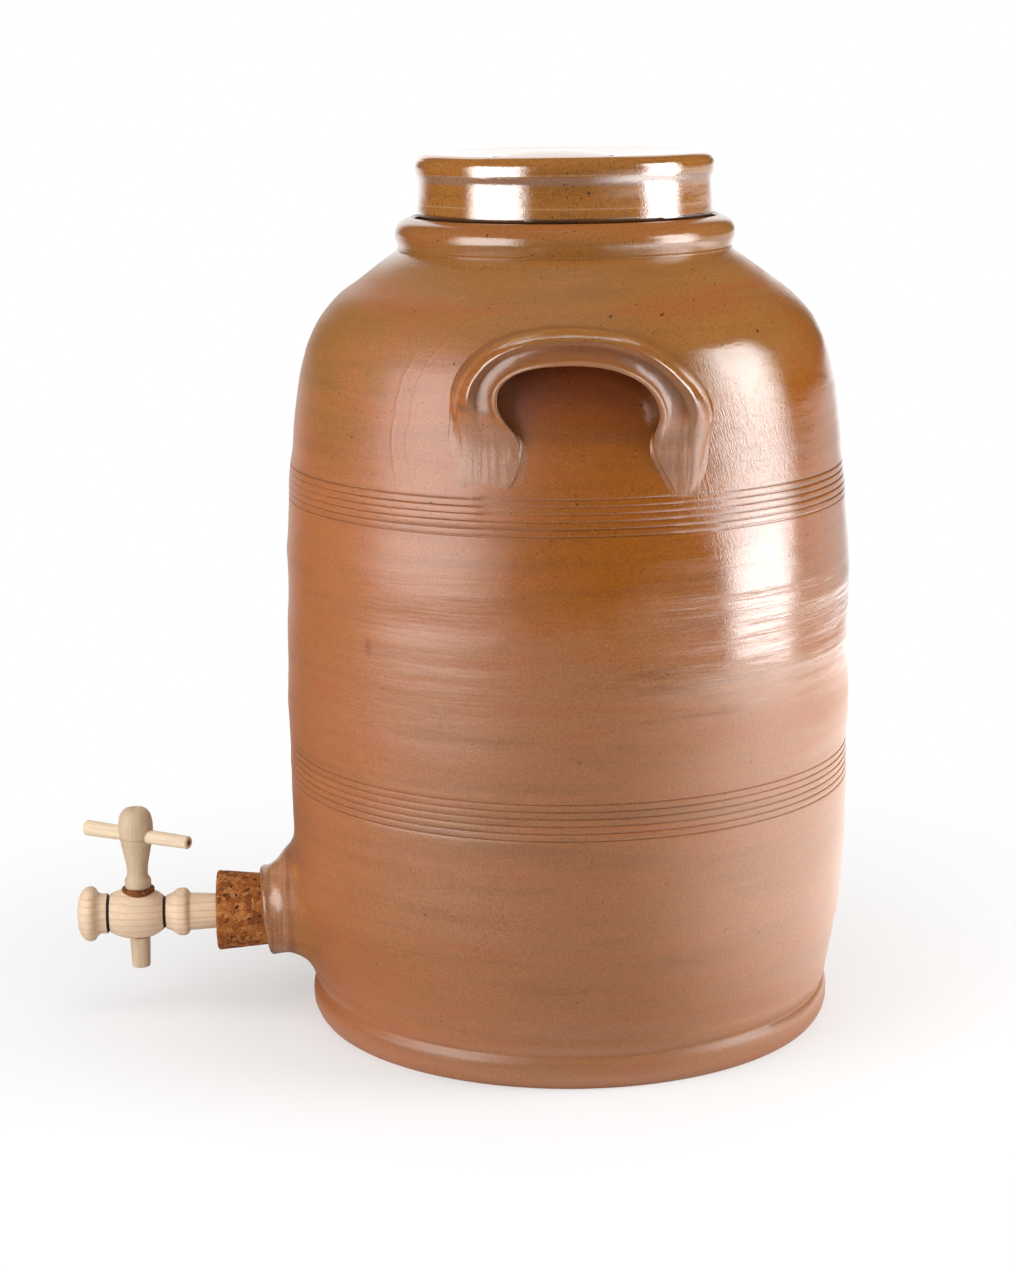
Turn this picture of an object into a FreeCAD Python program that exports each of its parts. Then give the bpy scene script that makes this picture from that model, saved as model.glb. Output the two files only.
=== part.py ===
import FreeCAD, Part
import math
import os
import re

import Sketcher

# Stoneware water pot with lid, lug handles, corked boss and turned wooden tap.
# Frame: origin at the centre of the foot, +Z up the jar's axis, tap along -X,
# handles at -Y and +Y. Every length is in millimetres and every angle in degrees.

DIMENSIONS = {
    "cutters": [
        ("cutter_margin", 1.0, "how far a cutter stands out of what it cuts"),
    ],
    "jar": [
        ("foot_radius", 114.6, "flat of the foot"),
        ("foot_bead_radius", 116.6, "rounded bead round the foot"),
        ("foot_bead_height", 7.5, "middle of the bead"),
        ("foot_bead_bend", 8.25, "roundness below the bead's middle"),
        ("foot_groove_radius", 115.2, "turned line above the bead"),
        ("foot_groove_height", 14.2, "turned line above the bead"),
        ("wall_start_radius", 116.2, "where the wall leaves the foot"),
        ("wall_start_height", 17.0, "where the wall leaves the foot"),
        ("lower_bend", 253.3, "radius of the wall's lower curve"),
        ("belly_low_radius", 124.15, "end of the lower curve"),
        ("belly_low_height", 80.0, "end of the lower curve"),
        ("belly_radius", 124.6, "widest place"),
        ("belly_height", 165.0, "widest place"),
        ("upper_bend", 928.7, "radius of the wall's upper curve"),
        ("upper_radius", 117.9, "start of the shoulder"),
        ("upper_height", 276.35, "start of the shoulder"),
        ("shoulder_bend", 137.2, "radius of the first shoulder curve"),
        ("shoulder_radius", 114.3, "start of the tight shoulder curve"),
        ("shoulder_height", 295.1, "start of the tight shoulder curve"),
        ("shoulder_tight_bend", 52.7, "radius of the tight shoulder curve"),
        ("slope_radius", 94.8, "top of the tight shoulder curve"),
        ("slope_height", 323.9, "top of the tight shoulder curve"),
        ("crease_radius", 72.3, "crease under the collar"),
        ("crease_height", 340.6, "crease under the collar"),
        ("collar_radius", 73.5, "ridge of the collar"),
        ("collar_ridge_height", 347.2, "ridge of the collar"),
        ("collar_bend", 6.5, "roundness of the ridge"),
        ("collar_top_radius", 71.2, "outer corner of the collar's top"),
        ("collar_top_height", 352.6, "outer corner of the collar's top"),
        ("collar_lip_radius", 66.4, "inner corner of the collar's top"),
        ("collar_lip_height", 354.8, "inner corner of the collar's top"),
        ("gallery_radius", 65.4, "wall round the lid's seat"),
        ("gallery_rim_height", 353.8, "top of the wall round the lid's seat"),
        ("ledge_height", 347.0, "ledge that the lid stands on"),
        ("throat_radius", 55.0, "clear opening of the mouth"),
        ("throat_height", 335.5, "underside of the throat"),
        ("wall_thickness", 9.0, "wall at the belly"),
        ("floor_thickness", 12.0, "floor"),
        ("floor_corner", 14.0, "inner corner between floor and wall"),
        ("inner_slope_radius", 86.0, "inside of the tight shoulder curve"),
        ("inner_slope_height", 317.0, "inside of the tight shoulder curve"),
        ("inner_shoulder_bend", 46.0, "radius of the inner shoulder"),
    ],
    "comb lines": [
        ("comb_depth", 0.7, "depth of an incised line"),
        ("comb_width", 1.5, "width of an incised line at the surface"),
        ("comb_low_height", 110.5, "lowest line of the lower band"),
        ("comb_low_radius", 124.31, "wall at the lower band"),
        ("comb_low_pitch", 3.08, "spacing in the lower band"),
        ("comb_high_height", 235.3, "lowest line of the upper band"),
        ("comb_high_radius", 121.75, "wall at the upper band"),
        ("comb_high_pitch", 2.96, "spacing in the upper band"),
        ("comb_high_lean", -0.085, "how the wall leans in at the upper band"),
    ],
    "lug handles": [
        ("lug_half_width", 49.5, "outer edge of the arch from its middle"),
        ("lug_top_height", 316.0, "top of the arch"),
        ("lug_spring_height", 289.0, "where the arch turns into its legs"),
        ("lug_side_bend", 18.0, "outer radius of the arch's corners"),
        ("lug_top_bend", 77.6, "outer radius of the arch's top"),
        ("lug_blend_offset", 41.0, "where the outer radii meet"),
        ("lug_blend_height", 304.3, "where the outer radii meet"),
        ("lug_foot_outer", 42.5, "outer edge of a leg at its foot"),
        ("lug_foot_inner", 34.0, "inner edge of a leg at its foot"),
        ("lug_foot_height", 248.0, "bottom of the legs"),
        ("pocket_half_width", 30.5, "inner edge of the arch from its middle"),
        ("pocket_spring_height", 285.0, "where the pocket's sides begin"),
        ("pocket_side_bend", 12.0, "inner radius of the arch's corners"),
        ("pocket_top_bend", 41.54, "inner radius of the arch's top"),
        ("pocket_blend_offset", 26.01, "where the inner radii meet"),
        ("pocket_blend_height", 294.35, "where the inner radii meet"),
        ("lug_plan_centre", 37.0, "centre of the strap's curve seen from above"),
        ("lug_root", 82.0, "depth where the strap starts, inside the wall"),
        ("lug_crown_reach", 117.0, "where the strap's flat top ends"),
        ("lug_crown_height", 317.0, "height of the strap's flat top"),
        ("lug_crown_bend", 15.0, "curve from the top into the face"),
        ("lug_face_bend", 190.0, "curve of the face down to the feet"),
        ("lug_toe_drop", 55.0, "how far below the crown's curve the feet end"),
        ("lug_edge_round", 3.0, "rounding along the strap"),
        ("lug_frame_margin", 30.0, "how far the arch's cutter reaches past the arch"),
    ],
    "boss": [
        ("tap_height", 44.3, "axis of the boss, bung and barrel"),
        ("boss_lip_reach", 139.6, "top of the slanted lip"),
        ("boss_lip_low_reach", 135.2, "bottom of the slanted lip"),
        ("boss_lip_radius", 20.2, "outside of the lip"),
        ("boss_neck_reach", 133.0, "where the flare begins"),
        ("boss_flare_bend", 15.0, "radius of the flare"),
        ("boss_root_reach", 120.6, "where the flare meets the wall"),
        ("boss_root_radius", 31.5, "flare at the wall"),
        ("boss_inner_reach", 104.0, "end of the flare, inside the wall"),
        ("boss_lip_round", 1.6, "rounding of the lip"),
    ],
    "bung": [
        ("bung_outer_reach", 159.7, "outer face of the cork"),
        ("bung_outer_radius", 17.6, "outer face of the cork"),
        ("bung_inner_reach", 115.7, "inner face of the cork"),
        ("bung_inner_radius", 14.1, "inner face of the cork"),
        ("bung_edge", 0.8, "worn edge of the outer face"),
        ("bore_inner_reach", 100.0, "inner end of the bore through boss and wall"),
        ("fit_gap", 0.06, "radial clearance of a fitted taper"),
    ],
    "lid": [
        ("lid_foot_outer", 62.8, "outside of the ring that it stands on"),
        ("lid_foot_inner", 56.8, "inside of the ring that it stands on"),
        ("lid_skirt_radius", 63.7, "skirt at the collar"),
        ("lid_skirt_height", 355.0, "skirt at the collar"),
        ("lid_foot_chamfer_height", 349.2, "top of the ring's chamfer"),
        ("lid_waist_radius", 63.0, "waist"),
        ("lid_waist_height", 367.5, "waist"),
        ("lid_waist_bend", 120.0, "curve of the waist below its middle"),
        ("lid_bead_low_radius", 63.9, "underside of the top bead"),
        ("lid_bead_low_height", 374.8, "underside of the top bead"),
        ("lid_under_bead_bend", 32.0, "curve between waist and bead"),
        ("lid_bead_radius", 64.2, "side of the top bead"),
        ("lid_bead_height", 378.2, "side of the top bead"),
        ("lid_bead_bend", 3.4, "roundness of the top bead"),
        ("lid_rim_radius", 60.8, "crest of the rim"),
        ("lid_rim_height", 381.6, "crest of the rim"),
        ("lid_dish_start_radius", 57.0, "where the rim turns into the dished top"),
        ("lid_dish_start_height", 381.0, "where the rim turns into the dished top"),
        ("lid_rim_bend", 16.0, "roundness of the rim's inner side"),
        ("lid_dish_radius", 29.0, "flat in the middle of the top"),
        ("lid_dish_height", 377.4, "flat in the middle of the top"),
        ("lid_ceiling_height", 370.4, "underside of the top"),
        ("lid_ceiling_radius", 51.0, "flat of the underside"),
        ("lid_inner_corner", 5.8, "inner corner between top and skirt"),
    ],
    "lid knob": [
        ("knob_radius", 26.4, "widest place"),
        ("knob_root_radius", 22.6, "neck on the lid"),
        ("knob_low_height", 379.6, "underside of the widest place"),
        ("knob_edge_height", 381.3, "top edge"),
        ("knob_edge_radius", 25.6, "top edge"),
        ("knob_crown_height", 382.6, "middle of the top"),
        ("knob_crown_radius", 10.0, "flat in the middle of the top"),
        ("knob_crown_bend", 94.0, "curve from the flat to the edge"),
        ("knob_neck_bend", 3.6, "undercut of the neck"),
        ("knob_side_bend", 1.3, "roundness of the top edge"),
    ],
    "tap barrel": [
        ("key_reach", 195.4, "axis of the key, from the jar's axis"),
        ("end_face", 27.1, "end of the barrel beyond the key"),
        ("end_face_radius", 9.6, "flat of the end knob"),
        ("end_knob_radius", 12.45, "end knob"),
        ("end_knob_place", 22.4, "widest place of the end knob"),
        ("end_knob_bend", 5.4, "crown of the end knob"),
        ("end_knob_back", 17.4, "back of the end knob"),
        ("end_knob_back_bend", 7.2, "curve of its back"),
        ("end_neck_radius", 9.05, "neck behind the end knob"),
        ("end_ring_outer", 14.0, "outer side of the burnt ring"),
        ("end_ring_inner", 13.0, "inner side of the burnt ring"),
        ("end_ring_radius", 8.2, "bottom of the burnt ring"),
        ("bulb_end_radius", 8.8, "bulb at the burnt ring"),
        ("bulb_radius", 11.85, "middle of the bulb"),
        ("bulb_left_bend", 27.0, "crown of the bulb, outer half"),
        ("bulb_right_bend", 17.3, "crown of the bulb, inner half"),
        ("bulb_right_place", 11.2, "end of the bulb towards the jar"),
        ("bulb_right_radius", 7.6, "end of the bulb towards the jar"),
        ("stem_ring_place", 11.8, "bottom of the second burnt ring"),
        ("stem_ring_radius", 7.0, "bottom of the second burnt ring"),
        ("bead_start", 12.4, "start of the bead"),
        ("bead_start_radius", 7.7, "start of the bead"),
        ("bead_place", 19.6, "widest place of the bead"),
        ("bead_radius", 10.7, "widest place of the bead"),
        ("bead_rise_bend", 19.0, "curve up to the widest place"),
        ("bead_end", 23.2, "end of the bead"),
        ("bead_fall_bend", 3.9, "curve down from the widest place"),
        ("stem_radius", 8.6, "stem at the bead"),
        ("stem_face_radius", 7.8, "stem at the cork's outer face"),
        ("stem_end", 89.0, "inner end of the stem"),
        ("stem_end_radius", 6.2, "inner end of the stem"),
        ("stem_bore_radius", 2.7, "water way"),
    ],
    "key": [
        ("sleeve_top", 12.5, "top of the cork sleeve above the barrel's axis"),
        ("sleeve_top_radius", 7.4, "outside of the sleeve at its top"),
        ("sleeve_base", 11.4, "base of the sleeve below the barrel's axis"),
        ("sleeve_base_radius", 6.2, "outside of the sleeve at its base"),
        ("shank_top_radius", 5.75, "key where it enters the sleeve"),
        ("shank_base_radius", 4.6, "key where it leaves the sleeve"),
        ("port_radius", 2.4, "side port and its way through the sleeve"),
        ("key_bore_radius", 2.3, "water way up the key"),
        ("key_bore_top", 2.6, "blind end of the water way"),
        ("spout_end", 25.4, "end of the spout below the barrel's axis"),
        ("spout_radius", 4.15, "end of the spout"),
        ("spout_round", 0.9, "rounding of the spout's end"),
        ("key_collar_low", 12.7, "underside of the collar"),
        ("key_collar_radius", 5.5, "collar at its underside"),
        ("key_collar_bend", 2.6, "roundness of the collar"),
        ("key_collar_top", 16.4, "top of the collar"),
        ("key_waist_start_radius", 5.1, "above the collar"),
        ("key_waist_height", 20.2, "waist"),
        ("key_waist_radius", 4.55, "waist"),
        ("key_flank_height", 34.8, "groove under the head"),
        ("key_flank_radius", 7.45, "groove under the head"),
        ("key_flank_bend", 55.0, "hollow of the flank"),
        ("key_groove_depth", 0.5, "depth of the groove under the head"),
        ("key_head_low", 35.8, "start of the head"),
        ("key_head_place", 40.2, "widest place of the head"),
        ("key_head_radius", 7.8, "widest place of the head"),
        ("key_head_low_bend", 20.0, "curve up to the widest place"),
        ("key_head_bend", 9.0, "crown of the head"),
        ("key_top", 49.4, "top of the key"),
        ("key_top_radius", 3.0, "flat of the top"),
        ("key_dimple_radius", 0.8, "turning mark in the top"),
        ("key_dimple_depth", 1.6, "turning mark in the top"),
        ("key_turn_at_rest", -30.0, "direction of the crossbar's thin end from +X"),
    ],
    "crossbar": [
        ("crossbar_rise", 36.7, "axis above the barrel's axis"),
        ("crossbar_left", 27.0, "thick end from the key's axis"),
        ("crossbar_right", 28.6, "thin end from the key's axis"),
        ("crossbar_left_radius", 3.55, "thick end"),
        ("crossbar_right_radius", 2.9, "thin end"),
        ("crossbar_edge", 0.45, "worn ends"),
    ],
}

COMB_LINES = 6
LUG_SWEEP = 90
FULL_TURN = 360
NEAR = 0.5    # slack for picking edges by their place
TINY = 0.01   # least length or volume that counts

doc = FreeCAD.newDocument("water_pot")
sheet = doc.addObject("Spreadsheet::Sheet", "Sheet")


def fill_sheet():
    """Write one row a dimension: its note, its value and its alias."""
    row = 0
    for group, dimensions in DIMENSIONS.items():
        row += 1
        sheet.set(f"A{row}", group)
        for alias, value, note in dimensions:
            row += 1
            sheet.set(f"A{row}", note)
            sheet.set(f"B{row}", str(value))
            sheet.setAlias(f"B{row}", alias)
    doc.recompute()


def bound(expression):
    """The expression with each dimension's name pointing into the sheet."""
    return re.sub(r"\b([a-z][a-z_]+)\b(?!\()", r"Sheet.\1", expression)


def value(expression):
    """The number that an expression of dimensions stands for now."""
    return float(sheet.evalExpression(bound(expression)))


# ---------------------------------------------------------------- sketches

def new_body(name):
    body = doc.addObject("PartDesign::Body", name)
    body.Label = name
    return body


def origin_item(body, role):
    return next(item for item in body.Origin.OriginFeatures if item.Role == role)


def new_sketch(body, name, plane="XZ_Plane", shift=None):
    """A sketch on one of the body's origin planes, moved along its own Y by shift."""
    sketch = body.newObject("Sketcher::SketchObject", name)
    sketch.AttachmentSupport = [(origin_item(body, plane), "")]
    sketch.MapMode = "FlatFace"
    if shift:
        sketch.setExpression("AttachmentOffset.Base.y", bound(shift))
    return sketch


def pin_vertex(sketch, side, end, corner):
    """Hold one end of a side at its corner's x and y."""
    axes = (("DistanceX", -2, corner[0]), ("DistanceY", -1, corner[1]))
    for kind, axis, expression in axes:
        if expression == "0":
            sketch.addConstraint(Sketcher.Constraint("PointOnObject", side, end, axis))
        else:
            index = sketch.addConstraint(
                Sketcher.Constraint(kind, -1, 1, side, end, value(expression)))
            sketch.setExpression(f"Constraints[{index}]", bound(expression))


def arc_between(start, end, radius, turn):
    """The short arc from start to end: turn +1 has its centre on the left, -1 on the right."""
    middle = (start + end) * 0.5
    chord = end - start
    height = math.sqrt(max(radius ** 2 - (chord.Length / 2) ** 2, 0.0))
    left = FreeCAD.Vector(-chord.y, chord.x, 0).normalize()
    centre = middle + left * (height * turn)
    first, last = (start, end) if turn > 0 else (end, start)
    angles = [math.atan2(point.y - centre.y, point.x - centre.x) for point in (first, last)]
    circle = Part.Circle(centre, FreeCAD.Vector(0, 0, 1), radius)
    return Part.ArcOfCircle(circle, angles[0], angles[1])


def draw_outline(sketch, corners, bends=None):
    """Close the corners into an outline; bends gives a side's radius and turn by its number."""
    bends = bends or {}
    points = [FreeCAD.Vector(value(x), value(y), 0) for x, y in corners]
    sides = []
    for number, start in enumerate(points):
        end = points[(number + 1) % len(points)]
        if number in bends:
            radius, turn = bends[number]
            side = sketch.addGeometry(arc_between(start, end, value(radius), turn))
            sides.append((side, 1, 2) if turn > 0 else (side, 2, 1))
            index = sketch.addConstraint(Sketcher.Constraint("Radius", side, value(radius)))
            sketch.setExpression(f"Constraints[{index}]", bound(radius))
        else:
            sides.append((sketch.addGeometry(Part.LineSegment(start, end)), 1, 2))
    for number, (side, start_end, _) in enumerate(sides):
        before, _, last_end = sides[number - 1]
        sketch.addConstraint(Sketcher.Constraint("Coincident", before, last_end, side, start_end))
        pin_vertex(sketch, side, start_end, corners[number])


def draw_circle(sketch, centre, radius):
    middle = FreeCAD.Vector(value(centre[0]), value(centre[1]), 0)
    circle = sketch.addGeometry(Part.Circle(middle, FreeCAD.Vector(0, 0, 1), value(radius)))
    pin_vertex(sketch, circle, 3, centre)
    index = sketch.addConstraint(Sketcher.Constraint("Radius", circle, value(radius)))
    sketch.setExpression(f"Constraints[{index}]", bound(radius))


# ---------------------------------------------------------------- features

def revolve(body, sketch, axis, kind="PartDesign::Revolution"):
    feature = body.newObject(kind, sketch.Name + "_turned")
    feature.Profile = sketch
    feature.ReferenceAxis = (sketch, [axis])
    feature.Angle = FULL_TURN
    sketch.Visibility = False
    doc.recompute()
    return feature


def turned_solid(body, name, corners, bends, axis, shift=None):
    sketch = new_sketch(body, name, shift=shift)
    draw_outline(sketch, corners, bends)
    return revolve(body, sketch, axis)


def removed(body, make_feature):
    """Make a cutting feature and stop if it took nothing away."""
    before = body.Shape.Volume
    feature = make_feature()
    doc.recompute()
    if not body.Shape.Volume < before - TINY:
        raise RuntimeError(f"{feature.Name} cut nothing from {body.Label}")
    return feature


def turned_cut(body, name, corners, bends, axis, shift=None):
    sketch = new_sketch(body, name, shift=shift)
    draw_outline(sketch, corners, bends)
    return removed(body, lambda: revolve(body, sketch, axis, "PartDesign::Groove"))


def through_pocket(body, sketch):
    """Cut the sketch right through the body, both ways."""
    def make():
        pocket = body.newObject("PartDesign::Pocket", sketch.Name + "_cut")
        pocket.Profile = sketch
        pocket.Type = "ThroughAll"
        pocket.Midplane = True
        sketch.Visibility = False
        return pocket
    return removed(body, make)


def pocket_to(body, sketch, length, reverse=False):
    """Cut the sketch to a depth on one side of its plane."""
    def make():
        pocket = body.newObject("PartDesign::Pocket", sketch.Name + "_cut")
        pocket.Profile = sketch
        pocket.Reversed = reverse
        pocket.setExpression("Length", bound(length))
        sketch.Visibility = False
        return pocket
    return removed(body, make)


def round_edges(body, name, radius, wanted):
    """Fillet the edges of the body's tip that the test picks."""
    base = body.Tip
    edges = [f"Edge{number}" for number, edge in enumerate(base.Shape.Edges, 1) if wanted(edge)]
    fillet = body.newObject("PartDesign::Fillet", name)
    fillet.Base = (base, edges)
    fillet.setExpression("Radius", bound(radius))
    doc.recompute()
    return fillet


# ---------------------------------------------------------------- jar

OUTER_WALL = [
    ("foot_radius", "0"),
    ("foot_bead_radius", "foot_bead_height"),
    ("foot_groove_radius", "foot_groove_height"),
    ("wall_start_radius", "wall_start_height"),
    ("belly_low_radius", "belly_low_height"),
    ("belly_radius", "belly_height"),
    ("upper_radius", "upper_height"),
    ("shoulder_radius", "shoulder_height"),
    ("slope_radius", "slope_height"),
    ("crease_radius", "crease_height"),
]
OUTER_BENDS = {
    0: ("foot_bead_bend", 1),
    3: ("lower_bend", 1),
    5: ("upper_bend", 1),
    6: ("shoulder_bend", 1),
    7: ("shoulder_tight_bend", 1),
}


def make_jar():
    """Thrown jar: outer wall, collar, ledge for the lid, throat, inner wall and floor."""
    body = new_body("jar_body")
    corners = [("0", "0")] + OUTER_WALL + [
        ("collar_radius", "collar_ridge_height"),
        ("collar_top_radius", "collar_top_height"),
        ("collar_lip_radius", "collar_lip_height"),
        ("gallery_radius", "gallery_rim_height"),
        ("gallery_radius", "ledge_height"),
        ("throat_radius", "ledge_height"),
        ("throat_radius", "throat_height"),
        ("inner_slope_radius", "inner_slope_height"),
        ("upper_radius - wall_thickness", "upper_height"),
        ("belly_radius - wall_thickness", "belly_height"),
        ("belly_low_radius - wall_thickness", "belly_low_height"),
        ("wall_start_radius - wall_thickness", "floor_thickness + floor_corner"),
        ("wall_start_radius - wall_thickness - floor_corner", "floor_thickness"),
        ("0", "floor_thickness"),
    ]
    bends = {number + 1: bend for number, bend in OUTER_BENDS.items()}
    collar_side = len(OUTER_WALL) + 1
    bends[collar_side] = ("collar_bend", 1)
    slope_side = collar_side + 7
    bends[slope_side] = ("inner_shoulder_bend", -1)
    bends[slope_side + 1] = ("upper_bend", -1)
    bends[slope_side + 3] = ("lower_bend", -1)
    bends[slope_side + 4] = ("floor_corner", -1)
    turned_solid(body, "jar_outline", corners, bends, "V_Axis")
    turned_cut(body, "bung_hole", BUNG_BORE, {}, "H_Axis", shift="tap_height")
    comb_band(body, "low_comb", "comb_low_radius", "comb_low_height", "comb_low_pitch", "0")
    comb_band(body, "high_comb", "comb_high_radius", "comb_high_height", "comb_high_pitch",
              "comb_high_lean")
    return body


def comb_band(body, name, radius, height, pitch, lean):
    """Parallel lines that a comb cut in the wet wall, one over the other."""
    for line in range(COMB_LINES):
        middle = f"({height} + {line} * {pitch})"
        wall = f"({radius} + {line} * {pitch} * ({lean}))"
        corners = [
            (f"{wall} - comb_depth", middle),
            (f"{wall} + cutter_margin", f"{middle} - comb_width / 2 * (1 + cutter_margin / comb_depth)"),
            (f"{wall} + cutter_margin", f"{middle} + comb_width / 2 * (1 + cutter_margin / comb_depth)"),
        ]
        turned_cut(body, f"{name}_{line + 1}", corners, {}, "V_Axis")


def cut_to_wall(body, name):
    """Take the jar's outer shape away, so that the piece ends on its wall."""
    corners = [("0", "0")] + OUTER_WALL + [("0", "crease_height")]
    bends = {number + 1: bend for number, bend in OUTER_BENDS.items()}
    turned_cut(body, name, corners, bends, "V_Axis")


# ---------------------------------------------------------------- boss and bung

def bung_radius(reach, gap="fit_gap"):
    """Radius of the bung's taper at a distance from the jar's axis."""
    slope = ("(bung_outer_radius - bung_inner_radius)"
             " / (bung_outer_reach - bung_inner_reach)")
    return f"bung_inner_radius + ({reach} - bung_inner_reach) * {slope} + {gap}"


BUNG_BORE = [
    ("-bung_outer_reach", "0"),
    ("-bore_inner_reach", "0"),
    ("-bore_inner_reach", bung_radius("bore_inner_reach")),
    ("-bung_outer_reach", bung_radius("bung_outer_reach")),
]


def make_boss():
    """Flared socket on the wall, its lip cut at a slant, with a tapered bore for the bung."""
    body = new_body("tap_boss")
    corners = [
        ("-boss_inner_reach", "0"),
        ("-boss_inner_reach", "boss_root_radius"),
        ("-boss_root_reach", "boss_root_radius"),
        ("-boss_neck_reach", "boss_lip_radius"),
        ("-boss_lip_reach", "boss_lip_radius"),
        ("-boss_lip_reach", "0"),
    ]
    turned_solid(body, "boss_outline", corners, {2: ("boss_flare_bend", -1)}, "H_Axis",
                 shift="tap_height")
    turned_cut(body, "boss_bore", BUNG_BORE, {}, "H_Axis", shift="tap_height")
    slant = new_sketch(body, "lip_slant", shift="tap_height")
    draw_outline(slant, [
        ("-boss_lip_reach", "boss_lip_radius"),
        ("-boss_lip_reach - cutter_margin", "boss_lip_radius"),
        ("-boss_lip_reach - cutter_margin", "-boss_lip_radius - cutter_margin"),
        ("-boss_lip_low_reach", "-boss_lip_radius - cutter_margin"),
    ])
    through_pocket(body, slant)
    lip_width = 2 * value("boss_lip_radius")
    lip_start = value("boss_neck_reach")

    def on_lip(edge):
        box = edge.BoundBox
        return box.XMax < -lip_start - NEAR and box.YLength > lip_width - NEAR
    round_edges(body, "lip_round", "boss_lip_round", on_lip)
    cut_to_wall(body, "boss_seat")
    return body


def stem_radius_at(reach, gap="0"):
    """Radius of the barrel's stem inside the cork, at a distance from the jar's axis."""
    face = "(key_reach - bung_outer_reach)"
    slope = f"(stem_face_radius - stem_end_radius) / (stem_end - {face})"
    return f"stem_face_radius - ((key_reach - {reach}) - {face}) * {slope} + {gap}"


def make_bung():
    """Tapered cork, bored to the taper of the barrel's stem."""
    body = new_body("cork_bung")
    corners = [
        ("-bung_outer_reach", stem_radius_at("bung_outer_reach", "fit_gap")),
        ("-bung_outer_reach", "bung_outer_radius - bung_edge"),
        ("-bung_outer_reach + bung_edge", bung_radius("bung_outer_reach - bung_edge", "0")),
        ("-bung_inner_reach", "bung_inner_radius"),
        ("-bung_inner_reach", stem_radius_at("bung_inner_reach", "fit_gap")),
    ]
    turned_solid(body, "bung_outline", corners, {}, "H_Axis", shift="tap_height")
    return body


# ---------------------------------------------------------------- lug handles

def make_lug(name, half_turn):
    """Ear-shaped strap: its side profile swept in a bow, cut to the arch and to the wall."""
    body = new_body(name)
    body.Placement = FreeCAD.Placement(
        FreeCAD.Vector(0, 0, 0), FreeCAD.Rotation(FreeCAD.Vector(0, 0, 1), half_turn))
    side = new_sketch(body, name + "_side", "YZ_Plane")
    reach = "lug_crown_reach + lug_crown_bend"
    level = "lug_crown_height - lug_crown_bend"
    toe = f"{reach} - lug_face_bend + sqrt(lug_face_bend ^ 2 - lug_toe_drop ^ 2)"
    draw_outline(side, [
        ("-lug_root", f"{level} - lug_toe_drop"),
        ("-lug_root", "lug_crown_height"),
        ("-lug_crown_reach", "lug_crown_height"),
        (f"-({reach})", level),
        (f"-({toe})", f"{level} - lug_toe_drop"),
    ], {2: ("lug_crown_bend", 1), 3: ("lug_face_bend", 1)})
    bow = side.addGeometry(Part.LineSegment(
        FreeCAD.Vector(-value("lug_plan_centre"), 0, 0),
        FreeCAD.Vector(-value("lug_plan_centre"), value("lug_crown_height"), 0)), True)
    pin_vertex(side, bow, 1, ("-lug_plan_centre", "0"))
    pin_vertex(side, bow, 2, ("-lug_plan_centre", "lug_crown_height"))
    strap = body.newObject("PartDesign::Revolution", name + "_strap")
    strap.Profile = side
    strap.ReferenceAxis = (side, ["Axis0"])
    strap.Midplane = True
    strap.Angle = LUG_SWEEP
    side.Visibility = False
    doc.recompute()

    arch = new_sketch(body, name + "_arch")
    frame_x = "lug_half_width + lug_frame_margin"
    draw_outline(arch, [
        (f"-({frame_x})", "lug_foot_height - lug_frame_margin"),
        (frame_x, "lug_foot_height - lug_frame_margin"),
        (frame_x, "lug_top_height + lug_frame_margin"),
        (f"-({frame_x})", "lug_top_height + lug_frame_margin"),
    ])
    draw_outline(arch, [
        ("-lug_foot_outer", "lug_foot_height"),
        ("-lug_half_width", "lug_spring_height"),
        ("-lug_blend_offset", "lug_blend_height"),
        ("lug_blend_offset", "lug_blend_height"),
        ("lug_half_width", "lug_spring_height"),
        ("lug_foot_outer", "lug_foot_height"),
        ("lug_foot_inner", "lug_foot_height"),
        ("pocket_half_width", "pocket_spring_height"),
        ("pocket_blend_offset", "pocket_blend_height"),
        ("-pocket_blend_offset", "pocket_blend_height"),
        ("-pocket_half_width", "pocket_spring_height"),
        ("-lug_foot_inner", "lug_foot_height"),
    ], {
        1: ("lug_side_bend", -1), 2: ("lug_top_bend", -1), 3: ("lug_side_bend", -1),
        7: ("pocket_side_bend", 1), 8: ("pocket_top_bend", 1), 9: ("pocket_side_bend", 1),
    })
    through_pocket(body, arch)
    foot = value("lug_foot_height")
    root = value("lug_root")

    def along_strap(edge):
        box = edge.BoundBox
        rises = box.ZLength > TINY
        return rises and box.YMax < -root - NEAR and box.ZMin > foot - TINY
    round_edges(body, name + "_round", "lug_edge_round", along_strap)
    cut_to_wall(body, name + "_seat")
    return body


# ---------------------------------------------------------------- lid

def make_lid():
    """Cup-shaped lid that stands on the ledge, with a beaded rim and a dished top."""
    body = new_body("lid")
    turned_solid(body, "lid_outline", [
        ("lid_foot_inner", "ledge_height"),
        ("lid_foot_outer", "ledge_height"),
        ("lid_skirt_radius", "lid_foot_chamfer_height"),
        ("lid_skirt_radius", "lid_skirt_height"),
        ("lid_waist_radius", "lid_waist_height"),
        ("lid_bead_low_radius", "lid_bead_low_height"),
        ("lid_bead_radius", "lid_bead_height"),
        ("lid_rim_radius", "lid_rim_height"),
        ("lid_dish_start_radius", "lid_dish_start_height"),
        ("lid_dish_radius", "lid_dish_height"),
        ("0", "lid_dish_height"),
        ("0", "lid_ceiling_height"),
        ("lid_ceiling_radius", "lid_ceiling_height"),
        ("lid_foot_inner", "lid_ceiling_height - lid_inner_corner"),
    ], {
        3: ("lid_waist_bend", -1), 4: ("lid_under_bead_bend", -1), 6: ("lid_bead_bend", 1),
        7: ("lid_rim_bend", 1), 12: ("lid_inner_corner", -1),
    }, "V_Axis")
    return body


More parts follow.
